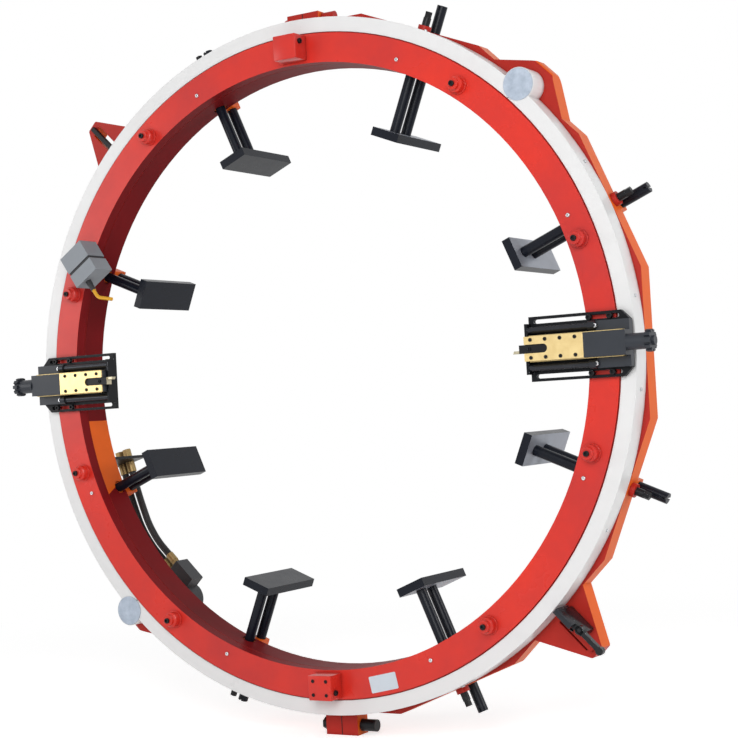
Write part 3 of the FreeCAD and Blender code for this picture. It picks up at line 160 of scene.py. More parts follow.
# Static frame: two halves of a welded sixteen-sided box with the drive brackets, the lugs and the flanged joints
# welded on. Its paint is orange, with painted shade as a darker red in front and maroon in the bore, except one
# stretch of the bore at the lower left that stays orange as painted light. Edges are broken, its hollows are
# darkened by painted shade blotched like dirt, and handling rubs the paint.
# The front red and the bore's maroon are painted shade on the frame's orange paint; BORE_LIT bounds a stretch of the
# bore kept orange as painted light.
FRAME_FRONT_SHADE_RED = (0.44, 0.022, 0.014, 1)
FRAME_BORE_SHADE_MAROON = (0.17, 0.007, 0.009, 1)
FRAME_ORANGE = (0.80, 0.125, 0.010, 1)
FRAME_BORE = 0.80
BORE_LIT = (-0.30, -0.10)
LUG_SLOT = 0.0235
LUG_REACH = 0.6
FRONT_FACING = 0.7
SIDE_FACING = 0.5
FRAME_PRIMER = (0.36, 0.12, 0.08, 1)
SMOOTH_ANGLE = math.radians(32)
MERGE_DISTANCE = 1e-6


def new_group(name, inputs, outputs):
    """A shader node group with named value sockets in, and value or vector sockets out."""
    group = bpy.data.node_groups.new(name, "ShaderNodeTree")
    for socket, default in inputs:
        group.interface.new_socket(socket, in_out="INPUT", socket_type="NodeSocketFloat").default_value = default
    for socket, kind in outputs:
        group.interface.new_socket(socket, in_out="OUTPUT", socket_type=kind)
    entry, leave = nodes_of(group, "NodeGroupInput", "NodeGroupOutput")
    return group, entry.outputs, leave.inputs


def noise(tree, scale, detail=4.0, roughness=0.6, stretch=(1, 1, 1)):
    """Noise over the piece's own coordinates, in patches per metre."""
    coordinates, mapping, texture = nodes_of(tree, "ShaderNodeTexCoord", "ShaderNodeMapping", "ShaderNodeTexNoise")
    mapping.inputs["Scale"].default_value = stretch
    texture.inputs["Detail"].default_value = detail
    texture.inputs["Roughness"].default_value = roughness
    if isinstance(scale, (int, float)):
        texture.inputs["Scale"].default_value = scale
    else:
        tree.links.new(scale, texture.inputs["Scale"])
    tree.links.new(coordinates.outputs["Object"], mapping.inputs["Vector"])
    tree.links.new(mapping.outputs[0], texture.inputs["Vector"])
    return texture.outputs["Fac"]


def mix_color(tree, factor, first, second):
    """A mix of two colours, each a socket or a tuple."""
    node = tree.nodes.new("ShaderNodeMix")
    node.data_type = "RGBA"
    for socket, value in ((node.inputs[0], factor), (node.inputs[6], first), (node.inputs[7], second)):
        if isinstance(value, (int, float, tuple)):
            socket.default_value = value
        else:
            tree.links.new(value, socket)
    return node.outputs[2]


EDGE_SAMPLES = 6
EDGE_GAIN = 6.0
edge_group, edge_in, edge_out = new_group(
    "broken_edge", [("Radius", 0.001), ("Wear", 0.5), ("Patches", 90.0)],
    [("Mask", "NodeSocketFloat"), ("Normal", "NodeSocketVector")])
rounded, flat, facing = nodes_of(edge_group, "ShaderNodeBevel", "ShaderNodeNewGeometry", "ShaderNodeVectorMath")
rounded.samples = EDGE_SAMPLES
facing.operation = "DOT_PRODUCT"
edge_group.links.new(edge_in["Radius"], rounded.inputs["Radius"])
edge_group.links.new(rounded.outputs[0], facing.inputs[0])
edge_group.links.new(flat.outputs["Normal"], facing.inputs[1])
turned_away = math_node(edge_group, "MULTIPLY", math_node(edge_group, "SUBTRACT", 1.0, facing.outputs["Value"]),
                        EDGE_GAIN, clamp=True)
rubbing = math_node(edge_group, "MULTIPLY", turned_away,
                    noise(edge_group, edge_in["Patches"], detail=6.0, roughness=0.7))
edge_group.links.new(
    math_node(edge_group, "GREATER_THAN", rubbing, math_node(edge_group, "SUBTRACT", 1.0, edge_in["Wear"])),
    edge_out["Mask"])
edge_group.links.new(rounded.outputs[0], edge_out["Normal"])

# This mask darkens hollows by ambient occlusion as painted shade, blotched by noise like dirt.
HOLLOW_SAMPLES = 4
HOLLOW_PATCHES = 55.0
HOLLOW_LEAST, HOLLOW_VARIATION = 0.55, 0.9
hollow_shade_group, hollow_shade_in, hollow_shade_out = new_group(
    "hollow_shade_and_dirt", [("Reach", 0.012), ("Amount", 0.6)], [("Mask", "NodeSocketFloat")])
(shelter,) = nodes_of(hollow_shade_group, "ShaderNodeAmbientOcclusion")
shelter.samples = HOLLOW_SAMPLES
hollow_shade_group.links.new(hollow_shade_in["Reach"], shelter.inputs["Distance"])
hollow = math_node(hollow_shade_group, "SUBTRACT", 1.0, shelter.outputs["AO"])
blotched = math_node(hollow_shade_group, "MULTIPLY", hollow, math_node(
    hollow_shade_group, "ADD", HOLLOW_LEAST,
    math_node(hollow_shade_group, "MULTIPLY", noise(hollow_shade_group, HOLLOW_PATCHES, detail=5.0, roughness=0.7), HOLLOW_VARIATION)))
hollow_shade_group.links.new(math_node(hollow_shade_group, "MULTIPLY", blotched, hollow_shade_in["Amount"], clamp=True), hollow_shade_out["Mask"])

SCRATCH_PATCHES = 60.0
SCRATCH_STRETCH = 14
SCRATCH_START, SCRATCH_GAIN = 0.62, 7.0
scratch_group, scratch_in, scratch_out = new_group(
    "fine_scratches", [("Amount", 0.3)], [("Mask", "NodeSocketFloat")])
crossed = math_node(scratch_group, "MAXIMUM",
                    noise(scratch_group, SCRATCH_PATCHES, 8.0, 0.75, stretch=(1, 1, SCRATCH_STRETCH)),
                    noise(scratch_group, SCRATCH_PATCHES, 8.0, 0.75, stretch=(SCRATCH_STRETCH, 1, 1)))
raised = math_node(scratch_group, "MULTIPLY", math_node(scratch_group, "SUBTRACT", crossed, SCRATCH_START),
                   SCRATCH_GAIN, clamp=True)
scratch_group.links.new(math_node(scratch_group, "MULTIPLY", raised, scratch_in["Amount"]), scratch_out["Mask"])


def place_group(tree, group, **values):
    """A node group in a material, with its own values."""
    node = tree.nodes.new("ShaderNodeGroup")
    node.node_tree = group
    for label, value in values.items():
        node.inputs[label].default_value = value
    return node.outputs


SCRATCH_BRIGHTNESS, SCRATCH_LIFT = 1.2, 0.03
HOLLOW_SHADE_DARKNESS = 0.22
GLOSS_DRIFT = 0.16
SCRATCH_DULLNESS = 0.25
DIRT_DULLNESS = 0.3
BUMP_STRENGTH = 0.6


def finish(name, color, roughness, metallic=0.0, spread=0.1, patch=9.0, second=None, grain=700.0, relief=0.00012,
           edge=0.0012, wear=0.3, worn=(0.4, 0.4, 0.4, 1), worn_metallic=None, shade_and_dirt=0.55, scratches=0.25, gloss=0.3,
           contrast=1.0):
    """A surface whose colour and gloss drift, with grain, fine scratches, painted shade blotched like dirt in its
    hollows and rubbed edges.
    """
    material = bpy.data.materials.new(name)
    material.use_nodes = True
    tree = material.node_tree
    shader = tree.nodes["Principled BSDF"]
    edges = place_group(tree, edge_group, Radius=edge, Wear=wear)
    shade_and_dirt_mask = place_group(tree, hollow_shade_group, Amount=shade_and_dirt)["Mask"]
    scratched = place_group(tree, scratch_group, Amount=scratches)["Mask"]
    drift = math_node(tree, "ADD", 0.5, math_node(tree, "MULTIPLY", math_node(
        tree, "SUBTRACT", noise(tree, patch, detail=5.0, roughness=0.62), 0.5), contrast), clamp=True)
    darker = tuple(channel * (1 - spread) for channel in color[:3]) + (1,)
    lighter = second or tuple(min(1.0, channel * (1 + spread)) for channel in color[:3]) + (1,)
    base = mix_color(tree, drift, darker, lighter)
    base = mix_color(tree, scratched, base, tuple(
        min(1.0, channel * SCRATCH_BRIGHTNESS + SCRATCH_LIFT) for channel in color[:3]) + (1,))
    # Hollows are darkened by the mask: painted shade, blotched like dirt, which also dulls the gloss.
    base = mix_color(tree, shade_and_dirt_mask, base, tuple(channel * HOLLOW_SHADE_DARKNESS for channel in color[:3]) + (1,))
    tree.links.new(mix_color(tree, edges["Mask"], base, worn), shader.inputs["Base Color"])
    dullness = math_node(tree, "ADD", roughness - GLOSS_DRIFT / 2, math_node(tree, "MULTIPLY", drift, GLOSS_DRIFT))
    dullness = math_node(tree, "ADD", dullness, math_node(tree, "MULTIPLY", scratched, SCRATCH_DULLNESS))
    tree.links.new(math_node(tree, "ADD", dullness, math_node(tree, "MULTIPLY", shade_and_dirt_mask, DIRT_DULLNESS), clamp=True),
                   shader.inputs["Roughness"])
    if worn_metallic is None:
        shader.inputs["Metallic"].default_value = metallic
    else:
        rise = math_node(tree, "MULTIPLY", edges["Mask"], worn_metallic - metallic)
        tree.links.new(math_node(tree, "ADD", rise, metallic), shader.inputs["Metallic"])
    (bump,) = nodes_of(tree, "ShaderNodeBump")
    bump.inputs["Strength"].default_value = BUMP_STRENGTH
    bump.inputs["Distance"].default_value = relief
    height = math_node(tree, "SUBTRACT", noise(tree, grain, detail=3.0, roughness=0.5), scratched)
    tree.links.new(height, bump.inputs["Height"])
    tree.links.new(edges["Normal"], bump.inputs["Normal"])
    tree.links.new(bump.outputs[0], shader.inputs["Normal"])
    shader.inputs["Specular IOR Level"].default_value = gloss
    return material


def smoothed(work, mesh):
    """Writes a worked mesh back with smooth curved faces and crisp corners."""
    for face in work.faces:
        face.smooth = True
    for edge in work.edges:
        edge.smooth = len(edge.link_faces) == 2 and edge.calc_face_angle(math.pi) < SMOOTH_ANGLE
    work.to_mesh(mesh)
    work.free()
    return mesh


def placed(name, mesh, body, slot, *nodes):
    """A finished piece that rides on a body and stands for CAD nodes; the slot it is given is not used."""
    piece = bpy.data.objects.new(name, mesh)
    bpy.context.scene.collection.objects.link(piece)
    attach(piece, body)
    if nodes:
        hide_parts(*nodes)
    return piece


def dressed(node, *paints, where=None, front=None, slot=None):
    """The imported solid's shape with smooth curved faces and its finishes, of which a test picks one for each face.
    What stands before the plane at front is cut away."""
    mesh = frame["nodes"][node].data.copy()
    work = bmesh.new()
    work.from_mesh(mesh)
    bmesh.ops.remove_doubles(work, verts=work.verts, dist=MERGE_DISTANCE)
    if front is not None:
        cut = bmesh.ops.bisect_plane(work, geom=[*work.verts, *work.edges, *work.faces], plane_co=(0, front, 0),
                                     plane_no=(0, -1, 0), clear_outer=True)
        bmesh.ops.edgenet_fill(work, edges=[part for part in cut["geom_cut"] if isinstance(part, bmesh.types.BMEdge)])
    for face in work.faces:
        face.material_index = int(where(face.calc_center_median(), face.normal)) if where else 0
    mesh.materials.clear()
    for paint in paints:
        mesh.materials.append(paint)
    body = next(name for name, members in frame["record"]["behaviour"]["bodies"].items() if node in members)
    slot = slot or next(entry["material_slot"] for entry in frame["record"]["subparts"] if entry["node"] == node)
    return placed(node + "_dressed", smoothed(work, mesh), body, slot, node)


frame_paint = finish("frame_paint", FRAME_ORANGE, roughness=0.42, spread=0.1, grain=420, relief=0.00016, wear=0.34,
                     worn=FRAME_PRIMER, gloss=0.16)
# The front and bore paints are the frame's orange darkened as painted shade.
frame_front_shade_paint = finish("frame_front_shade_paint", FRAME_FRONT_SHADE_RED, roughness=0.38, spread=0.14, grain=420, relief=0.00016,
                           wear=0.34, worn=FRAME_PRIMER, gloss=0.2)
frame_bore_shade_paint = finish("frame_bore_shade_paint", FRAME_BORE_SHADE_MAROON, roughness=0.5, spread=0.3, patch=6, grain=420,
                          relief=0.00016, wear=0.34, worn=FRAME_PRIMER, gloss=0.06, shade_and_dirt=0.8)


def frame_side(centre, normal):
    """The paint of a face of the frame, as a place in the list of its paints."""
    # The lug's slot and the front faces take the darker front red, which is painted shade.
    if centre.x > LUG_REACH and abs(centre.x + centre.z) < LUG_SLOT and abs(normal.y) < SIDE_FACING:
        return 1
    if normal.y < -FRONT_FACING:
        return 1
    # The bore takes the maroon painted shade, except a stretch at the lower left kept orange as painted light.
    lit = centre.x < 0 and BORE_LIT[0] < centre.z < BORE_LIT[1]
    return 2 if math.hypot(centre.x, centre.z) < FRAME_BORE and not lit else 0


for node in ("frame_half_right", "frame_half_left"):
    dressed(node, frame_paint, frame_front_shade_paint, frame_bore_shade_paint, where=frame_side)

# Guide blocks and jack nuts: steel blocks welded through the frame, in which the legs' bars slide, and round nuts
# on their outer ends for the jack screws. The blocks are in the frame's orange, the nuts in the darker red of its
# front, which is painted shade.
LEG_ANGLES = [22.5 + 45 * count for count in range(8)]
GUIDE_BLOCK = ((0.7835, 0.068, -0.0175), (0.891, 0.166, 0.0175))
GUIDE_EDGE = 0.0015


def blocks(name, corners, edge, material, body, slot, *nodes):
    """Blocks with broken edges in one piece, each given by its lowest and highest corner and its turn."""
    mesh = bpy.data.meshes.new(name)
    work = bmesh.new()
    for low, high, turn in corners:
        low, high = Vector(low), Vector(high)
        made = bmesh.ops.create_cube(work, size=1.0)["verts"]
        bmesh.ops.scale(work, vec=high - low, verts=made)
        bmesh.ops.translate(work, vec=(low + high) / 2, verts=made)
        bmesh.ops.transform(work, matrix=turn, verts=made)
    bmesh.ops.bevel(work, geom=work.edges[:], offset=edge, segments=2, affect="EDGES", profile=0.5)
    mesh.materials.append(material)
    return placed(name, smoothed(work, mesh), body, slot, *nodes)


def turned_to(angle):
    """The turn about the machine's axis that points X outwards at an angle."""
    return Matrix.Rotation(-math.radians(angle), 4, "Y")


blocks("guide_blocks", [(*GUIDE_BLOCK, turned_to(angle)) for angle in LEG_ANGLES], GUIDE_EDGE, frame_paint, "frame",
       "frame_orange", "leg_guide_blocks")
dressed("jack_nuts", frame_front_shade_paint, slot="frame_orange")

# Bearing track: two half hoops of ground steel with a vee groove, screwed to the inside of the frame. The ring's
# vee rollers run in it, and the two pinions that drive the ring are cut from the same steel.
TRACK_STEEL = (0.42, 0.42, 0.43, 1)
TRACK_RUBBED = (0.7, 0.7, 0.7, 1)
ground_steel = finish("ground_steel", TRACK_STEEL, roughness=0.32, metallic=1.0, spread=0.12, patch=25, grain=1500,
                      relief=0.00004, worn=TRACK_RUBBED, scratches=0.5)
for node in ("bearing_track_right", "bearing_track_left", "track_rollers", "pinion_upper", "pinion_lower"):
    dressed(node, ground_steel)

# Rotating ring: two machined half rings with a gear rim cut in their outside, in bright red gloss paint with large
# crimson patches at random, painted shade that stands for uneven reflection. The bore is a darker red, painted shade.
# The crimson patches and the darker red of the bore are painted shade.
RING_RED = (0.80, 0.034, 0.016, 1)
RING_SHADE_CRIMSON = (0.50, 0.030, 0.028, 1)
RING_BORE_SHADE_RED = (0.20, 0.007, 0.009, 1)
RING_RUBBED = (0.30, 0.07, 0.06, 1)
RING_BORE = 0.79
ring_paint = finish("ring_paint", RING_RED, roughness=0.3, spread=0.0, second=RING_SHADE_CRIMSON, patch=2.4, contrast=2.6,
                    gloss=0.34, grain=380, relief=0.00012, wear=0.32, worn=RING_RUBBED)
ring_bore_shade_paint = finish("ring_bore_shade_paint", RING_BORE_SHADE_RED, roughness=0.48, spread=0.2, patch=7, gloss=0.06, grain=380,
                         relief=0.00012, wear=0.32, worn=RING_RUBBED, shade_and_dirt=0.8)
for node in ("ring_half_right", "ring_half_left"):
    dressed(node, ring_paint, ring_bore_shade_paint,
            where=lambda centre, normal: abs(normal.y) < SIDE_FACING and math.hypot(centre.x, centre.z) < RING_BORE)

# Bearing bosses: eight stepped steel caps, turned in one piece and painted with the ring. Each is held from the
# front by the black socket screw of its roller's axle.
BOSS_CIRCLE = 0.812
BOSS_ANGLES = (18, 54, 126, 162, 198, 234, 306, 342)
BOSS_HEIGHT = 0.034
BOSS_OUTLINE = [("Foot", 0.023, 0), ("Flange", 0.023, 0.0032), ("Flange edge", 0.0222, 0.004),
                ("Barrel foot", 0.0202, 0.004), ("Barrel", 0.020, 0.0205), ("Shoulder", 0.0155, 0.0235),
                ("Neck", 0.015, 0.0245), ("Neck top", 0.015, BOSS_HEIGHT - 0.0008),
                ("Crown edge", 0.0142, BOSS_HEIGHT), ("Crown", 0.002, BOSS_HEIGHT)]
SCREW_OUTLINE = [("Base", 0.007, 0), ("Side", 0.007, 0.0052), ("Edge", 0.0063, 0.006), ("Rim", 0.0041, 0.006),
                 ("Socket", 0.0039, 0.0022)]
TURNED_SIDES = 24
SOCKET_MARGIN = 1.02


def turned_tree(name, outline, hexagon=False):
    """Turned pieces: a disc is raised and stepped to each radius and height of its outline, its last two steps
    are drawn to a hexagon where it has a socket, and a copy stands on every point along that point's facing."""
    tree = bpy.data.node_groups.new(name, "GeometryNodeTree")
    tree.interface.new_socket("Points", in_out="INPUT", socket_type="NodeSocketGeometry")
    for label, radius, height in outline:
        for measure, value in (("radius", radius), ("height", height)):
            socket = tree.interface.new_socket(f"{label} {measure}", in_out="INPUT", socket_type="NodeSocketFloat")
            socket.default_value = value
    tree.interface.new_socket("Material", in_out="INPUT", socket_type="NodeSocketMaterial")
    tree.interface.new_socket("Geometry", in_out="OUTPUT", socket_type="NodeSocketGeometry")
    entry, leave, disc = nodes_of(tree, "NodeGroupInput", "NodeGroupOutput", "GeometryNodeMeshCircle")
    size = entry.outputs
    disc.fill_type = "NGON"
    disc.inputs["Vertices"].default_value = TURNED_SIDES
    tree.links.new(size[f"{outline[0][0]} radius"], disc.inputs["Radius"])
    shape, top = disc.outputs[0], None
    for (before, _, _), (label, _, _) in zip(outline, outline[1:]):
        lift, shrink = nodes_of(tree, "GeometryNodeExtrudeMesh", "GeometryNodeScaleElements")
        lift.inputs["Individual"].default_value = False
        tree.links.new(shape, lift.inputs["Mesh"])
        if top:
            tree.links.new(top, lift.inputs["Selection"])
        tree.links.new(math_node(tree, "SUBTRACT", size[f"{label} height"], size[f"{before} height"]),
                       lift.inputs["Offset Scale"])
        tree.links.new(lift.outputs["Mesh"], shrink.inputs["Geometry"])
        tree.links.new(lift.outputs["Top"], shrink.inputs["Selection"])
        tree.links.new(math_node(tree, "DIVIDE", size[f"{label} radius"], size[f"{before} radius"]),
                       shrink.inputs["Scale"])
        shape, top = shrink.outputs[0], lift.outputs["Top"]
    if hexagon:
        where, parts, joined, move = nodes_of(tree, "GeometryNodeInputPosition", "ShaderNodeSeparateXYZ",
                                              "ShaderNodeCombineXYZ", "GeometryNodeSetPosition")
        tree.links.new(where.outputs[0], parts.inputs[0])
        x, y, z = parts.outputs
        across = math_node(tree, "SQRT", math_node(tree, "ADD", math_node(tree, "MULTIPLY", x, x),
                                                   math_node(tree, "MULTIPLY", y, y)))
        turn = math_node(tree, "FLOORED_MODULO", math_node(tree, "ARCTAN2", y, x), math.pi / 3)
        flat_share = math_node(tree, "DIVIDE", math.cos(math.pi / 6), math_node(
            tree, "COSINE", math_node(tree, "SUBTRACT", turn, math.pi / 6)))
        for index, part in enumerate((x, y)):
            tree.links.new(math_node(tree, "MULTIPLY", part, flat_share), joined.inputs[index])
        tree.links.new(z, joined.inputs[2])
        inside = math_node(tree, "LESS_THAN", across, math_node(
            tree, "MULTIPLY", size[f"{outline[-2][0]} radius"], SOCKET_MARGIN))
        tree.links.new(shape, move.inputs["Geometry"])
        tree.links.new(inside, move.inputs["Selection"])
        tree.links.new(joined.outputs[0], move.inputs["Position"])
        shape = move.outputs[0]
    direction, align, stand, real, paint = nodes_of(
        tree, "GeometryNodeInputNamedAttribute", "FunctionNodeAlignRotationToVector", "GeometryNodeInstanceOnPoints",
        "GeometryNodeRealizeInstances", "GeometryNodeSetMaterial")
    direction.data_type = "FLOAT_VECTOR"
    direction.inputs["Name"].default_value = "facing"
    align.axis = "Z"
    tree.links.new(next(socket for socket in direction.outputs if socket.enabled and socket.type == "VECTOR"),
                   align.inputs["Vector"])
    tree.links.new(entry.outputs["Points"], stand.inputs["Points"])
    tree.links.new(shape, stand.inputs["Instance"])
    tree.links.new(align.outputs[0], stand.inputs["Rotation"])
    tree.links.new(stand.outputs[0], real.inputs[0])
    tree.links.new(real.outputs[0], paint.inputs["Geometry"])
    tree.links.new(entry.outputs["Material"], paint.inputs["Material"])
    tree.links.new(paint.outputs[0], leave.inputs[0])
    return tree


def grown(name, tree, points, material, body, slot, nodes=(), **sizes):
    """The plain mesh that a tree grows on points, each a place and a facing, riding on one body."""
    seeds = bpy.data.meshes.new(name + "_points")
    seeds.from_pydata([place for place, _ in points], [], [])
    seeds.attributes.new("facing", "FLOAT_VECTOR", "POINT").data.foreach_set(
        "vector", [part for _, direction in points for part in direction])
    grower = bpy.data.objects.new(name + "_points", seeds)
    bpy.context.scene.collection.objects.link(grower)
    modifier = grower.modifiers.new("grow", "NODES")
    modifier.node_group = tree
    sockets = {item.name: item.identifier for item in tree.interface.items_tree if item.in_out == "INPUT"}
    modifier[sockets["Material"]] = material
    for label, value in sizes.items():
        modifier[sockets[label.replace("_", " ")]] = value
    depsgraph = bpy.context.evaluated_depsgraph_get()
    mesh = bpy.data.meshes.new_from_object(grower.evaluated_get(depsgraph), depsgraph=depsgraph)
    grower.modifiers.remove(modifier)
    bpy.data.objects.remove(grower)
    work = bmesh.new()
    work.from_mesh(mesh)
    bmesh.ops.remove_doubles(work, verts=work.verts, dist=MERGE_DISTANCE)
    bmesh.ops.recalc_face_normals(work, faces=work.faces)
    for face in work.faces:
        face.material_index = 0
    mesh.materials.clear()
    mesh.materials.append(material)
    return placed(name, smoothed(work, mesh), body, slot, *nodes)


def around(radius, angles, depth):
    """Points on a circle about the machine's axis, facing the front."""
    return [((radius * math.cos(math.radians(angle)), depth, radius * math.sin(math.radians(angle))), (0, -1, 0))
            for angle in angles]


BLACK = (0.006, 0.0065, 0.008, 1)
# Rubbed edges are real wear, made pale and broad enough to also serve as painted edge highlights.
BLACK_WEAR_AND_GLINT = (0.24, 0.25, 0.27, 1)
AXLE_CUT = 0.01
black_steel = finish("black_steel", BLACK, roughness=0.36, spread=0.3, patch=30, grain=1200, relief=0.00006,
                     edge=0.0009, wear=0.42, worn=BLACK_WEAR_AND_GLINT, worn_metallic=0.6, shade_and_dirt=0.3, gloss=0.22)
socket_screw = turned_tree("socket_screw", SCREW_OUTLINE, hexagon=True)
grown("bearing_bosses", turned_tree("stepped_boss", BOSS_OUTLINE), around(BOSS_CIRCLE, BOSS_ANGLES, 0), ring_paint,
      "rotor", "ring_red", ["roller_bosses"])
grown("axle_screws", socket_screw, around(BOSS_CIRCLE, BOSS_ANGLES, -BOSS_HEIGHT), black_steel, "rotor",
      "black_steel")
dressed("roller_axles", black_steel, front=AXLE_CUT)

# Silver plugs: eight small socket screws of bright steel that close tapped holes in the ring's face, in the gaps
# between the bosses.
PLUG_CIRCLE = 0.808
PLUG_SIZES = {"Base_radius": 0.005, "Side_radius": 0.005, "Side_height": 0.0022, "Edge_radius": 0.0043,
              "Edge_height": 0.003, "Rim_radius": 0.0024, "Rim_height": 0.003, "Socket_radius": 0.0023,
              "Socket_height": 0.0006}
PLUG_STEEL = (0.62, 0.63, 0.65, 1)
PLUG_RUBBED = (0.8, 0.8, 0.8, 1)
bright_steel = finish("bright_steel", PLUG_STEEL, roughness=0.28, metallic=1.0, spread=0.1, patch=60, grain=1500,
                      relief=0.00003, worn=PLUG_RUBBED)
grown("ring_plugs", socket_screw, around(PLUG_CIRCLE, LEG_ANGLES, 0), bright_steel, "rotor", "ground_steel",
      ["face_plugs"], **PLUG_SIZES)

# Ring joint clamps: a thick painted block over each split, on a thin foot, pulled together by a cross screw in
# the side that faces right. The lower one shows its four black face screws.
CLAMP_BLOCK = ((-0.021, -0.054), (0.046, 0.0))
CLAMP_FOOT = ((-0.033, -0.010), (-0.0205, 0.0))
CLAMP_REACH = (0.786, 0.849)
CLAMP_EDGE = 0.0016
CLAMP_SCREW_MARGIN = 0.014
CLAMP_CROSS_SCREW = (-0.035, 0.831)
clamp_corners, clamp_screws = [], []
for level in (1, -1):
    span = sorted((level * CLAMP_REACH[0], level * CLAMP_REACH[1]))
    for (x_low, y_low), (x_high, y_high) in (CLAMP_BLOCK, CLAMP_FOOT):
        clamp_corners.append(((x_low, y_low, span[0]), (x_high, y_high, span[1]), Matrix()))
    clamp_screws.append(((CLAMP_BLOCK[1][0], CLAMP_CROSS_SCREW[0], level * CLAMP_CROSS_SCREW[1]), (1, 0, 0)))
blocks("joint_clamps", clamp_corners, CLAMP_EDGE, ring_paint, "rotor", "ring_red", "ring_joint_clamps")
grown("clamp_cross_screws", socket_screw, clamp_screws, black_steel, "rotor", "black_steel")
clamp_face = [(CLAMP_BLOCK[0][0] + CLAMP_SCREW_MARGIN, CLAMP_BLOCK[1][0] - CLAMP_SCREW_MARGIN),
              (-CLAMP_REACH[1] + CLAMP_SCREW_MARGIN, -CLAMP_REACH[0] - CLAMP_SCREW_MARGIN)]
grown("clamp_face_screws", socket_screw,
      [((x, CLAMP_BLOCK[0][1], z), (0, -1, 0)) for x in clamp_face[0] for z in clamp_face[1]], black_steel, "rotor",
      "black_steel", Base_radius=0.0045, Side_radius=0.0045, Side_height=0.0014, Edge_radius=0.004, Edge_height=0.002,
      Rim_radius=0.0024, Rim_height=0.002, Socket_radius=0.0023, Socket_height=0.0004)

# Label plate: a bare, pale metal plate with rounded corners on the ring's face near the bottom, in the place
# where the real one is printed.
PLATE_CIRCLE = 0.824
PLATE_ANGLE = math.radians(-78.1)
PLATE_HALF = (0.040, 0.021)
PLATE_THICKNESS = 0.0007
PLATE_CORNER = 0.003
CORNER_STEPS = 4
PLATE_SILVER = (0.60, 0.66, 0.72, 1)
PLATE_RUBBED = (0.7, 0.7, 0.7, 1)
plate_paint = finish("plate_paint", PLATE_SILVER, roughness=0.34, metallic=0.2, spread=0.05, patch=40, grain=900,
                     relief=0.00003, edge=0.0004, wear=0.1, worn=PLATE_RUBBED, shade_and_dirt=0.2)
plate_mesh = bpy.data.meshes.new("label_plate")
plate = bmesh.new()
outline = []
for x_sign, z_sign, start in ((1, 1, 0), (-1, 1, 90), (-1, -1, 180), (1, -1, 270)):
    for step in range(CORNER_STEPS + 1):
        turn = math.radians(start + 90 / CORNER_STEPS * step)
        outline.append(plate.verts.new((x_sign * (PLATE_HALF[0] - PLATE_CORNER) + PLATE_CORNER * math.cos(turn), 0,
                                        z_sign * (PLATE_HALF[1] - PLATE_CORNER) + PLATE_CORNER * math.sin(turn))))
plate_back = plate.faces.new(outline)
raised_plate = bmesh.ops.extrude_face_region(plate, geom=[plate_back])["geom"]
bmesh.ops.translate(plate, vec=(0, -PLATE_THICKNESS, 0),
                    verts=[part for part in raised_plate if isinstance(part, bmesh.types.BMVert)])
bmesh.ops.recalc_face_normals(plate, faces=plate.faces)
bmesh.ops.transform(plate, verts=plate.verts, matrix=Matrix.Translation(
    (PLATE_CIRCLE * math.cos(PLATE_ANGLE), 0, PLATE_CIRCLE * math.sin(PLATE_ANGLE))) @ Matrix.Rotation(
    -(PLATE_ANGLE + math.pi / 2), 4, "Y"))
plate_mesh.materials.append(plate_paint)
placed("label_plate", smoothed(plate, plate_mesh), "rotor", "ground_steel")

# Guard: two halves of rolled white coated sheet over the gear rim, with a round bulge over each pinion, held by
# small button screws in its cone; a thin black sheet at each bulge's inner edge is painted shade for a slot there.
GUARD_WHITE = (0.79, 0.79, 0.79, 1)
GUARD_RUBBED = (0.45, 0.45, 0.45, 1)
DRIVE_ANGLES = (45, 225)
GUARD_SLOT_SHADE = (0.8585, 0.8675, 0.0014)
SLOT_FLOOR, SLOT_RISE = 0.0034, 0.0008
guard_paint = finish("guard_paint", GUARD_WHITE, roughness=0.3, spread=0.03, gloss=0.5, grain=500, relief=0.00008,
                     wear=0.26, worn=GUARD_RUBBED, shade_and_dirt=0.5, scratches=0.15)
for node in ("guard_right", "guard_left"):
    dressed(node, guard_paint)
dressed("guard_screws", bright_steel)
# Thin black sheets on the guard stand as painted shade for its slots.
slot_shade_corners = []
for angle in DRIVE_ANGLES:
    cosine, sine = math.cos(math.radians(angle)), math.sin(math.radians(angle))
    inner, outer, half = GUARD_SLOT_SHADE
    slot_shade_corners.append([(reach * cosine - side * half * sine, reach * sine + side * half * cosine)
                         for reach, side in ((inner, -1), (outer, -1), (outer, 1), (inner, 1))])
slot_shade_mesh = bpy.data.meshes.new("guard_slot_shades")
slot_shade_work = bmesh.new()
for corners in slot_shade_corners:
    lower = slot_shade_work.faces.new([slot_shade_work.verts.new((x, SLOT_FLOOR, z)) for x, z in corners])
    lifted = bmesh.ops.extrude_face_region(slot_shade_work, geom=[lower])["geom"]
    bmesh.ops.translate(slot_shade_work, vec=(0, -SLOT_RISE, 0),
                        verts=[part for part in lifted if isinstance(part, bmesh.types.BMVert)])
bmesh.ops.recalc_face_normals(slot_shade_work, faces=slot_shade_work.faces)
slot_shade_mesh.materials.append(black_steel)
placed("guard_slot_shades", smoothed(slot_shade_work, slot_shade_mesh), "frame", "guard_white")

# Pinion caps: discs pressed from galvanised sheet, clouded blue-grey by their zinc, one snapped into the front of
# each bulge over its pinion.
CAP_DARK = (0.36, 0.43, 0.53, 1)
CAP_LIGHT = (0.54, 0.61, 0.71, 1)
CAP_RUBBED = (0.7, 0.7, 0.72, 1)
cap_finish = finish("galvanised_cap", CAP_DARK, roughness=0.4, metallic=0.15, spread=0.1, patch=46, second=CAP_LIGHT,
                    contrast=2.0, grain=300, relief=0.00008, wear=0.2, worn=CAP_RUBBED, shade_and_dirt=0.2)
dressed("pinion_caps", cap_finish)

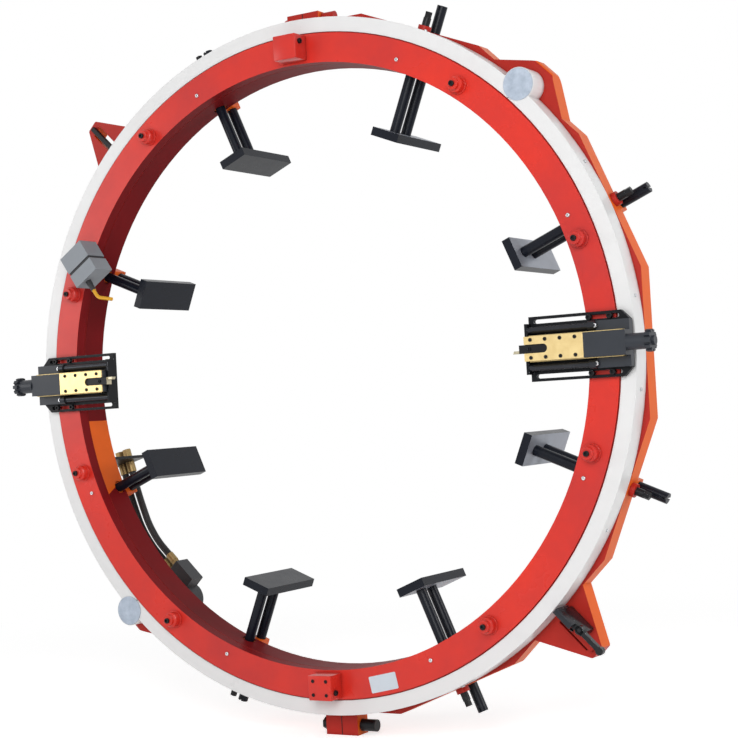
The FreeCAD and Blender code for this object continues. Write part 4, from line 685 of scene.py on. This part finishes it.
# Drives: two hydraulic motors in dark cast iron, bolted to the brackets behind the ring. The upper one is short,
# as nothing of it shows past the frame from the front.
MOTOR_IRON = (0.035, 0.036, 0.04, 1)
MOTOR_RUBBED = (0.15, 0.15, 0.15, 1)
motor_iron = finish("motor_iron", MOTOR_IRON, roughness=0.5, spread=0.25, patch=22, grain=260, relief=0.0003,
                    worn=MOTOR_RUBBED, wear=0.3)
dressed("drive_motor_lower", motor_iron)
DRIVE_CIRCLE = 0.900
FRAME_BACK = 0.112
UPPER_FLANGE = ((0.860, FRAME_BACK, -0.040), (0.940, 0.122, 0.040))
UPPER_OUTLINE = [("Foot", 0.036, 0), ("Housing", 0.036, 0.036), ("Step", 0.038, 0.036), ("Body", 0.038, 0.056),
                 ("Edge", 0.036, 0.058), ("Cover", 0.004, 0.058)]
blocks("upper_motor_flange", [(*UPPER_FLANGE, turned_to(DRIVE_ANGLES[0]))], GUIDE_EDGE, motor_iron, "frame",
       "motor_black", "drive_motor_upper")
(drive_place, _), = around(DRIVE_CIRCLE, DRIVE_ANGLES[:1], FRAME_BACK)
grown("upper_motor", turned_tree("short_motor", UPPER_OUTLINE), [(drive_place, (0, 1, 0))], motor_iron, "frame",
      "motor_black")

# Legs: eight black bars, each a slotted tube before a keyed bar, on a thick pad whose outer face is painted pale
# blue-grey, a painted reflection on its black steel. A threaded jack screw beside the bar drives it in and out.
PAD_FACE_RADIUS = 0.64
PAD_REFLECTION_GREY = (0.32, 0.35, 0.40, 1)
PAD_RUBBED = (0.6, 0.62, 0.65, 1)
LEG_BLACK = (0.005, 0.007, 0.013, 1)
LEG_RUBBED = (0.20, 0.22, 0.27, 1)
OUTWARD_FACING = 0.7
# The pads' outer faces get a pale blue-grey painted reflection.
pad_reflection_paint = finish("pad_reflection_paint", PAD_REFLECTION_GREY, roughness=0.42, metallic=0.25, spread=0.22, patch=26, grain=500,
                   relief=0.00008, worn=PAD_RUBBED, shade_and_dirt=0.4, scratches=0.5)
leg_black = finish("leg_black", LEG_BLACK, roughness=0.3, spread=0.3, patch=30, grain=1200, relief=0.00006,
                   edge=0.0009, wear=0.36, worn=LEG_RUBBED, worn_metallic=0.6, shade_and_dirt=0.3, gloss=0.18)
for count, angle in enumerate(LEG_ANGLES, 1):
    outward = Vector((math.cos(math.radians(angle)), 0, math.sin(math.radians(angle))))
    dressed(f"leg_{count}", leg_black, pad_reflection_paint, where=lambda centre, normal: (
        normal.dot(outward) > OUTWARD_FACING and centre.dot(outward) < PAD_FACE_RADIUS))
    dressed(f"jack_screw_{count}", black_steel)

# Frame clamp bolts: large black socket bolts that pull the two halves of the frame together, the top ones painted
# over with the frame's darker front red, which is painted shade. A thin dark line marks the seam of each joint.
TOP_SEAM = ((-0.0009, 0.0612, 0.898), (0.0009, 0.0625, 0.925))
BOTTOM_SEAM = ((-0.0009, 0.0612, -0.957), (0.0009, 0.0625, -0.897))
SEAM_EDGE = 0.0002
dressed("frame_clamp_bolts", black_steel, frame_front_shade_paint, where=lambda centre, normal: centre.z > 0)
blocks("frame_seams", [(*TOP_SEAM, Matrix()), (*BOTTOM_SEAM, Matrix())], SEAM_EDGE, black_steel, "frame",
       "frame_orange")

# Tool slides: a slotted black plate on the ring carries two rods, the cast housing of the tool bar, its brass
# cover and gib, and the feed barrel with its star wheel.
PLATE_BLACK = (0.006, 0.007, 0.009, 1)
# The plates' rubbed edges are real wear, made pale and broad enough to also serve as painted edge highlights.
PLATE_BLACK_WEAR_AND_GLINT = (0.34, 0.36, 0.40, 1)
HOUSING_BLUE = (0.016, 0.020, 0.028, 1)
HOUSING_RUBBED = (0.32, 0.34, 0.37, 1)
ROD_STEEL = (0.030, 0.032, 0.038, 1)
ROD_RUBBED = (0.5, 0.5, 0.5, 1)
COVER_BRASS = (0.70, 0.49, 0.19, 1)
COVER_BRIGHT = (0.90, 0.73, 0.38, 1)
COVER_RUBBED = (0.9, 0.8, 0.55, 1)
INSERT_STEEL = (0.5, 0.45, 0.32, 1)
INSERT_RUBBED = (0.8, 0.8, 0.7, 1)
INSERT_REACH = 0.6262
COVER_TOP = -0.060
TOOL_SCREW = (0.652, -0.0547)
COVER_SCREWS = [(0.658 + 0.0377 * count, side * 0.021) for count in range(4) for side in (-1, 1)]
BASE_BOLTS = [(reach, side * 0.065) for reach in (0.790, 0.842) for side in (-1, 1)]
BASE_TOP = -0.012
ROD_SCREWS = [(0.8125, side * 0.044) for side in (-1, 1)]
ROD_COLLAR_TOP = -0.034
plate_black = finish("plate_black", PLATE_BLACK, roughness=0.36, spread=0.25, patch=20, grain=1100, relief=0.00006,
                     edge=0.0012, wear=0.46, worn=PLATE_BLACK_WEAR_AND_GLINT, worn_metallic=0.6, shade_and_dirt=0.3, gloss=0.14)
housing_blue = finish("housing_blue", HOUSING_BLUE, roughness=0.42, spread=0.2, patch=18, grain=900, relief=0.00007,
                      edge=0.0012, wear=0.34, worn=HOUSING_RUBBED, worn_metallic=0.6, shade_and_dirt=0.3, gloss=0.4)
rod_steel = finish("rod_steel", ROD_STEEL, roughness=0.26, metallic=0.6, spread=0.2, patch=30, grain=1500,
                   relief=0.00003, worn=ROD_RUBBED)
brass = finish("cover_brass", COVER_BRASS, roughness=0.34, metallic=0.85, spread=0.1, patch=34, second=COVER_BRIGHT,
               grain=900, relief=0.00005, worn=COVER_RUBBED, scratches=0.6, shade_and_dirt=0.5)
insert_steel = finish("insert_steel", INSERT_STEEL, roughness=0.3, metallic=0.9, spread=0.15, patch=80, grain=1500,
                      relief=0.00003, worn=INSERT_RUBBED)
for side, sign in (("right", 1), ("left", -1)):
    dressed(f"slide_base_{side}", plate_black)
    dressed(f"slide_housing_{side}", housing_blue)
    dressed(f"brass_cover_{side}", brass)
    dressed(f"tool_bar_{side}", black_steel, insert_steel, where=lambda centre, normal: abs(centre.x) < INSERT_REACH)
    dressed(f"star_wheel_{side}", housing_blue)
    grown(f"tool_screw_{side}", socket_screw, [((sign * TOOL_SCREW[0], TOOL_SCREW[1], 0), (0, -1, 0))], plate_black,
          f"tool_{side}", "black_steel", Base_radius=0.005, Side_radius=0.005, Side_height=0.003, Edge_radius=0.0045,
          Edge_height=0.0036, Rim_radius=0.003, Rim_height=0.0036, Socket_radius=0.0029, Socket_height=0.0006)
dressed("slide_rods", rod_steel)


def on_both_slides(places, depth):
    """Points on both tool slides, facing the front."""
    return [((side * reach, depth, side * across), (0, -1, 0)) for side in (1, -1) for reach, across in places]


grown("cover_screws", socket_screw, on_both_slides(COVER_SCREWS, COVER_TOP), black_steel, "rotor", "black_steel",
      ["ring_screws"], Base_radius=0.0045, Side_radius=0.0045, Side_height=0.0015, Edge_radius=0.004,
      Edge_height=0.002, Rim_radius=0.0025, Rim_height=0.002, Socket_radius=0.0024, Socket_height=0.0003)
grown("base_bolts", socket_screw, on_both_slides(BASE_BOLTS, BASE_TOP), black_steel, "rotor", "black_steel",
      Side_height=0.0072, Edge_height=0.008, Rim_height=0.008, Socket_height=0.0034)
grown("rod_screws", socket_screw, on_both_slides(ROD_SCREWS, ROD_COLLAR_TOP), bright_steel, "rotor", "ground_steel",
      Base_radius=0.0055, Side_radius=0.0055, Edge_radius=0.005, Rim_radius=0.003, Socket_radius=0.0029)

# Control box: a grey cast box in two parts, screwed together over a dark gasket on the ring's face, with a gland
# and a short yellow nozzle at its lower corner.
NOZZLE_FROM_X = -0.6549
NOZZLE_BELOW_Z = 0.2528
BOX_GREY = (0.25, 0.27, 0.295, 1)
BOX_RUBBED = (0.55, 0.56, 0.58, 1)
GASKET_BLACK = (0.03, 0.03, 0.032, 1)
GASKET_RUBBED = (0.1, 0.1, 0.1, 1)
NOZZLE_YELLOW = (0.72, 0.36, 0.02, 1)
NOZZLE_RUBBED = (0.6, 0.45, 0.2, 1)
box_casting = finish("box_casting", BOX_GREY, roughness=0.5, metallic=0.1, spread=0.12, patch=16, grain=420,
                     relief=0.0002, edge=0.0016, wear=0.3, worn=BOX_RUBBED, shade_and_dirt=0.5)
box_gasket = finish("box_gasket", GASKET_BLACK, roughness=0.5, spread=0.3, patch=30, grain=600, worn=GASKET_RUBBED)
nozzle_yellow = finish("nozzle_yellow", NOZZLE_YELLOW, roughness=0.4, spread=0.15, patch=50, grain=500, relief=0.0001,
                       worn=NOZZLE_RUBBED)
for node in ("control_box", "control_box_lid"):
    dressed(node, box_casting)
dressed("box_valve", box_gasket, nozzle_yellow,
        where=lambda centre, normal: centre.x > NOZZLE_FROM_X and centre.z < NOZZLE_BELOW_Z)

# Tripper: a black column with a small knob, bolted to the lower lug, carries a sliding steel bar. A ball-ended
# lever pushes the bar forward, into the way of the star wheels. Black rails line the slots of the lugs, the lower
# one painted over with the frame's darker front red, which is painted shade.
LUG_ANGLE = -45
TRIPPER_COLUMN = ((0.909, 0.006, 0.0215), (0.985, 0.062, 0.0385))
TRIP_BAR = ((0.902, -0.017, 0.0225), (0.957, 0.048, 0.0375))
TRIPPER_KNOB = (0.957, 0.012, 0.0215)
TRIPPER_BLACK = (0.005, 0.006, 0.008, 1)
TRIPPER_RUBBED = (0.40, 0.42, 0.45, 1)
to_lug = turned_to(LUG_ANGLE)
gloss_black = finish("gloss_black", TRIPPER_BLACK, roughness=0.24, spread=0.25, patch=30, grain=900, relief=0.00005,
                     edge=0.0014, wear=0.5, worn=TRIPPER_RUBBED, worn_metallic=0.7, shade_and_dirt=0.3, gloss=0.3)
blocks("tripper_seat", [(*TRIPPER_COLUMN, to_lug)], GUIDE_EDGE, gloss_black, "frame", "black_steel", "tripper_block")
blocks("trip_bar_slim", [(*TRIP_BAR, to_lug)], GUIDE_EDGE, rod_steel, "tripper_bar", "black_steel", "trip_bar")
dressed("trip_lever", gloss_black)
grown("tripper_knob", socket_screw, [(tuple(to_lug @ Vector(TRIPPER_KNOB)), to_lug @ Vector((0, 0, -1)))],
      gloss_black, "frame", "black_steel", Base_radius=0.004, Side_radius=0.004, Side_height=0.009)
dressed("tripper_rails", black_steel, frame_front_shade_paint, where=lambda centre, normal: centre.z < 0)

# Hoses: two wire-braided rubber hoses, crimped into aged brass fittings, from the lower motor to brass couplings
# in a steel bracket on the frame's back.
FITTING_END = -0.12
BRACKET_ANGLE = math.radians(196)
BRACKET_HALF = 0.0065
HOSE_BLACK = (0.017, 0.017, 0.018, 1)
HOSE_RUBBED = (0.06, 0.06, 0.06, 1)
AGED_BRASS = (0.30, 0.21, 0.09, 1)
AGED_BRASS_RUBBED = (0.6, 0.48, 0.25, 1)
hose_rubber = finish("hose_rubber", HOSE_BLACK, roughness=0.5, spread=0.3, patch=30, grain=900, relief=0.0003,
                     worn=HOSE_RUBBED)
aged_brass = finish("aged_brass", AGED_BRASS, roughness=0.45, metallic=0.8, spread=0.2, patch=40, grain=900,
                    relief=0.00005, worn=AGED_BRASS_RUBBED, shade_and_dirt=0.6)
dressed("hydraulic_hoses", hose_rubber, aged_brass,
        where=lambda centre, normal: (centre.x - centre.z) * math.sqrt(0.5) > FITTING_END)
dressed("hose_couplings", black_steel, aged_brass, where=lambda centre, normal: abs(
    centre.z * math.cos(BRACKET_ANGLE) - centre.x * math.sin(BRACKET_ANGLE)) > BRACKET_HALF)
